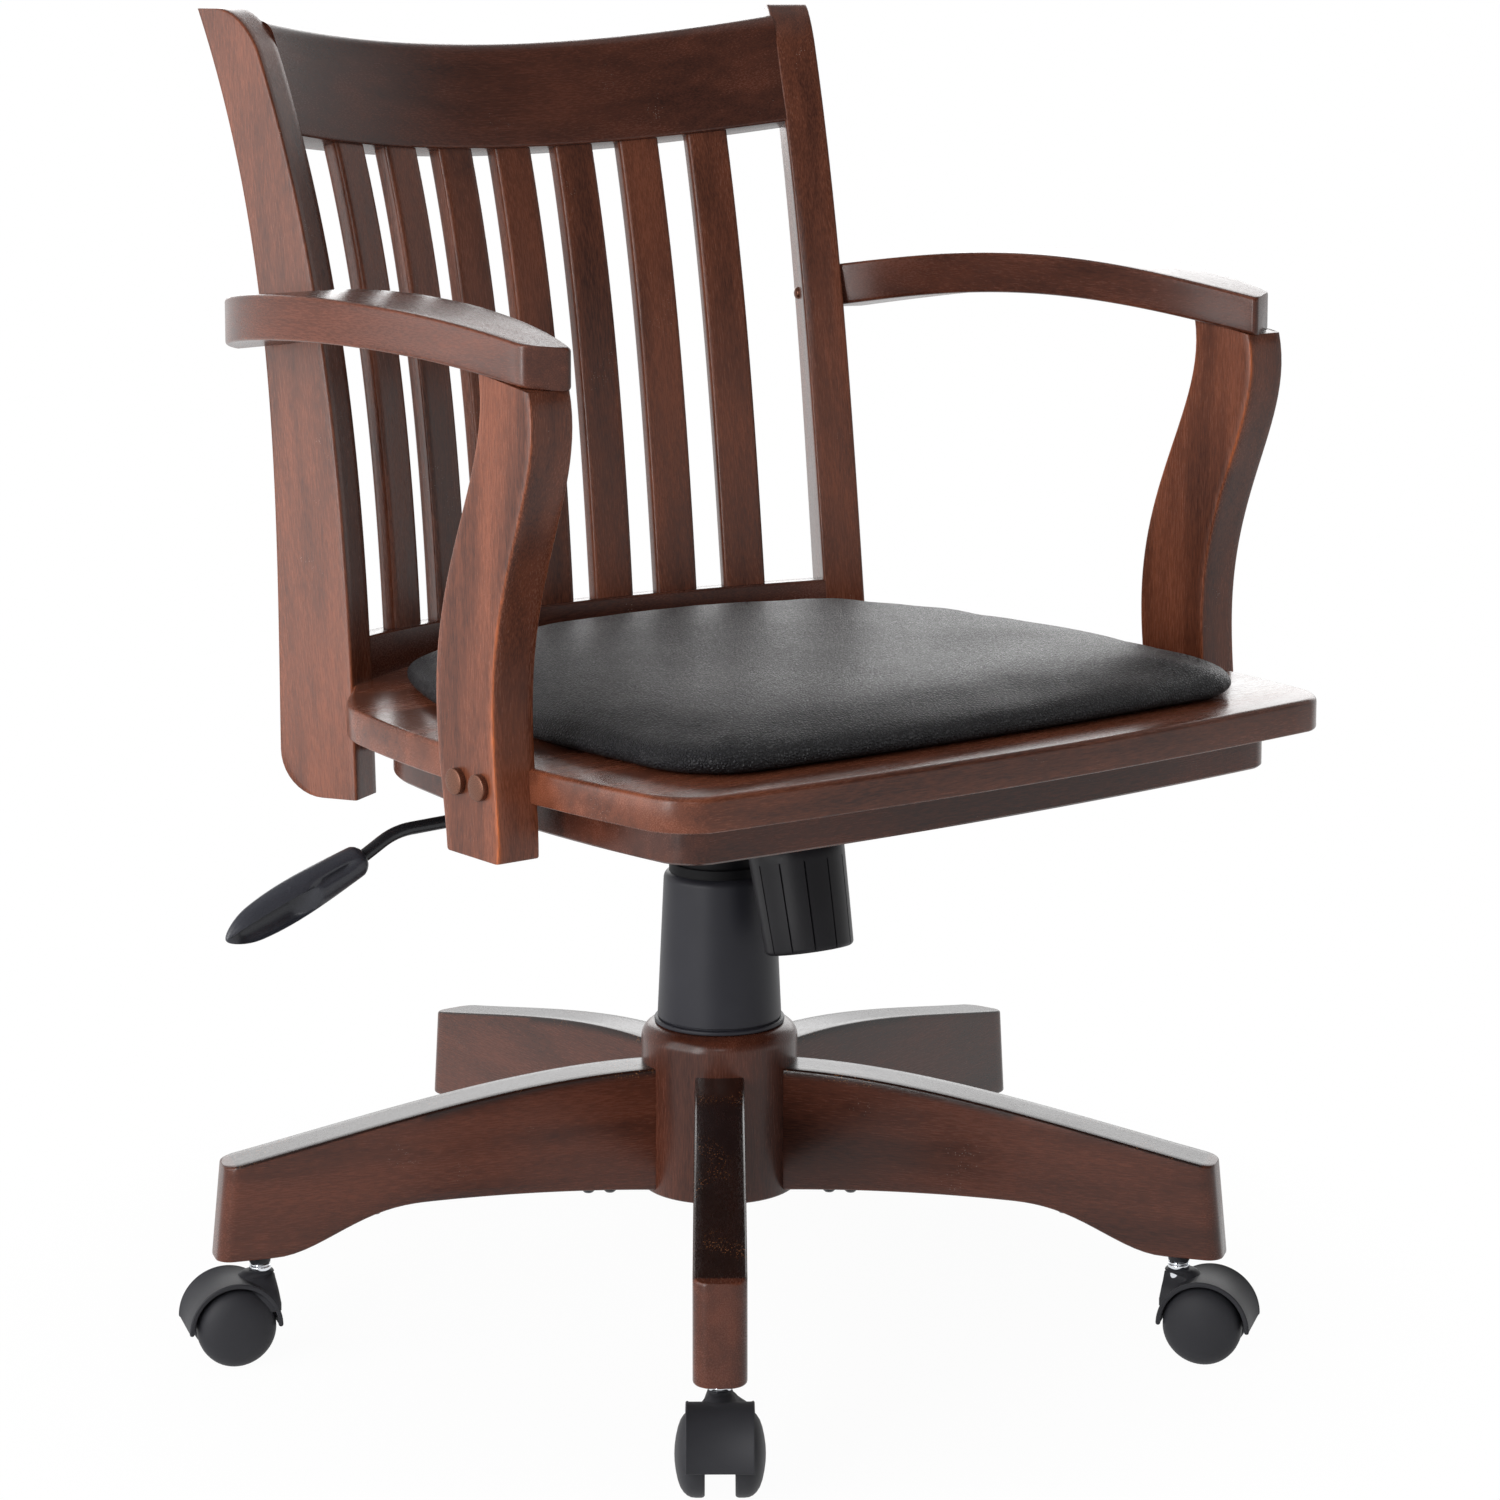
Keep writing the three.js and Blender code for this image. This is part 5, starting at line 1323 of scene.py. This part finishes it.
def arm_post():
    """The arm post: a slightly domed foot, and a top that follows the arm's underside."""
    foot = arm_post_row(0)
    middle = sum((point for point, _ in foot), Vector()) / len(foot)
    rows = []
    for share in (0.3, 0.6, 0.85, 0.95):
        drop = Z * (ARM_POST_DOME * (1 - share * share))
        rows.append([(middle.lerp(point, share) - drop, 0) for point, _ in foot])
    start = ARM_POST_ROUND / (ARM_TOPS[0] - ARM_POST_FOOT)
    shares = [start * (1 - math.cos(a)) for a in quarter(4)[:-1]] + [mix(start, 1, t) for t in evenly(40)]
    return loft(rows + [arm_post_row(share) for share in shares])


def arm_post_row(share):
    rise = share * (ARM_TOPS[0] - ARM_POST_FOOT)
    into = round_off(ARM_POST_ROUND, max(0, ARM_POST_ROUND - rise))
    front = through(ARM_POST_FRONTS, share) + into
    rear = through(ARM_POST_REARS, share) - into
    centre = Vector((ARM_POST_OUTER - ARM_POST_THICK / 2, (front + rear) / 2, 0))
    row = on_frame(rounded(ARM_POST_THICK, rear - front, ARRIS), centre, X, Y)
    for point, _ in row:
        point.z = mix(ARM_POST_FOOT + ARM_POST_DOME, arm_under(point.y) - JOINT, share)
    return row


def cap(y):
    """A bolt's broad cap on the arm post's outer face."""
    seat = ARM_POST_OUTER - 0.5
    face = seat + CAP_RISE
    profile = [(0, seat), (CAP_R - 0.8, seat), (CAP_R - 0.2, seat + 0.9), (CAP_R, seat + 1.6)]
    profile += arc((CAP_R - 0.7, face - 0.3), 0.7, 0, 84, 5) + [(CAP_R - 3.4, face + 0.55), (0, face + 0.7)]
    outwards = Matrix.Rotation(math.pi / 2, 4, "Y")
    return moved(turned(profile, 48), Matrix.Translation((0, y, CAP_Z)) @ outwards)


# What stays as the CAD node


def dress_nodes():
    finishes = {
        "wood": WOOD, "vinyl": VINYL, "cover": COVER, "plastic": MOULDING,
        "black_steel": BLACK_STEEL, "chrome": CHROME, "steel": STEEL, "bronze": BRONZE,
    }
    for name, node in nodes.items():
        node.data.materials.clear()
        node.data.materials.append(finishes[slot_of[name]])


# Floor, world, lamps and camera


def add_floor():
    """A pale floor that is white away from the chair and keeps a faint shadow under it."""
    bm = bmesh.new()
    bmesh.ops.create_circle(bm, cap_ends=True, radius=9, segments=96)
    mesh = bpy.data.meshes.new("floor")
    bm.to_mesh(mesh)
    bm.free()
    floor = bpy.data.objects.new("floor", mesh)
    bpy.context.scene.collection.objects.link(floor)
    made, n, shader = surface("white_floor")
    n.tree.nodes.remove(shader)
    place = n.add("ShaderNodeTexCoord").outputs["Object"]
    away = n.add("ShaderNodeVectorMath", {0: place}, operation="LENGTH").outputs["Value"]
    path = n.add("ShaderNodeLightPath").outputs
    seen = n.math("MAXIMUM", path["Is Camera Ray"], path["Is Glossy Ray"])
    seen = n.math("MAXIMUM", seen, path["Is Transmission Ray"])
    share = n.math("MULTIPLY", seen, n.ramp(away, *FLOOR_SHADE, FLOOR_GLOW, 1.0))
    matt = n.add("ShaderNodeBsdfDiffuse", {"Color": (0.82, 0.82, 0.82, 1)})
    glow = n.add("ShaderNodeEmission", {"Color": (1, 1, 1, 1), "Strength": 1.0})
    mixed = n.add("ShaderNodeMixShader", {0: share, 1: matt.outputs[0], 2: glow.outputs[0]})
    n.tree.links.new(mixed.outputs[0], n.tree.nodes["Material Output"].inputs[0])
    mesh.materials.append(made)


def add_world():
    """White as it is seen, dim overhead and high in front in reflections, and even light on the object."""
    world = bpy.data.worlds.new("studio")
    bpy.context.scene.world = world
    world.use_nodes = True
    n = Nodes(world.node_tree)
    back = n.tree.nodes["Background"]
    back.inputs["Color"].default_value = (1, 1, 1, 1)
    path = n.add("ShaderNodeLightPath").outputs
    towards = n.add("ShaderNodeTexCoord").outputs["Generated"]
    behind = n.add("ShaderNodeVectorMath", {0: towards, 1: ROOM_BACK}, operation="DOT_PRODUCT")
    high = n.add("ShaderNodeSeparateXYZ", {0: towards}).outputs[2]
    rear = n.ramp(behind.outputs["Value"], -0.2, 0.35)
    rear = n.math("MULTIPLY", rear, n.ramp(high, 0.35, 0.75, 1.0, 0.4))
    room = n.math("MAXIMUM", rear, n.ramp(high, 0.08, 0.3, 1.0, 0.22))
    seen = n.math("MAXIMUM", path["Is Camera Ray"], path["Is Transmission Ray"])
    strength = n.math("MAXIMUM", seen, n.math("MULTIPLY", path["Is Glossy Ray"], room))
    n.tree.links.new(n.math("MAXIMUM", strength, WORLD_LIGHT), back.inputs["Strength"])


def add_lamps():
    for name, place, size, radiance, towards in LAMPS:
        data = bpy.data.lights.new(name, "AREA")
        data.shape = "RECTANGLE"
        data.size, data.size_y = size
        data.energy = math.pi * radiance * size[0] * size[1]
        lamp = bpy.data.objects.new(name, data)
        lamp.location = place
        lamp.rotation_euler = (Vector(towards) - Vector(place)).to_track_quat("-Z", "Y").to_euler()
        lamp.visible_camera = False
        bpy.context.scene.collection.objects.link(lamp)


def add_camera():
    right = Vector((math.cos(VIEW_AZIMUTH), math.sin(VIEW_AZIMUTH), 0))
    ahead = Vector((-math.sin(VIEW_AZIMUTH), math.cos(VIEW_AZIMUTH), 0))
    place = right * VIEW_OFFSET - ahead * VIEW_DISTANCE + Vector((COLUMN_X, COLUMN_Y, VIEW_HEIGHT))
    ahead = ahead * math.cos(VIEW_ELEVATION) - Z * math.sin(VIEW_ELEVATION)
    data = bpy.data.cameras.new("camera")
    data.sensor_width = 36
    data.lens = VIEW_FOCAL / PHOTO * data.sensor_width
    data.shift_x = 0.5 - VIEW_CENTRE[0] / PHOTO
    data.shift_y = VIEW_CENTRE[1] / PHOTO - 0.5
    camera = bpy.data.objects.new("camera", data)
    camera.matrix_world = Matrix.LocRotScale(place * MM, ahead.to_track_quat("-Z", "Y"), None)
    bpy.context.scene.collection.objects.link(camera)
    bpy.context.scene.camera = camera


random.seed(11)
dress_nodes()
add_legs()
add_hub()
add_casters()
add_column()
add_knob()
add_spring()
add_lever()
add_grip()
add_seat()
add_cushion()
add_posts()
add_rails()
add_slats()
add_arms()
add_floor()
add_world()
add_camera()
add_lamps()
bpy.context.scene.view_settings.view_transform = "Standard"
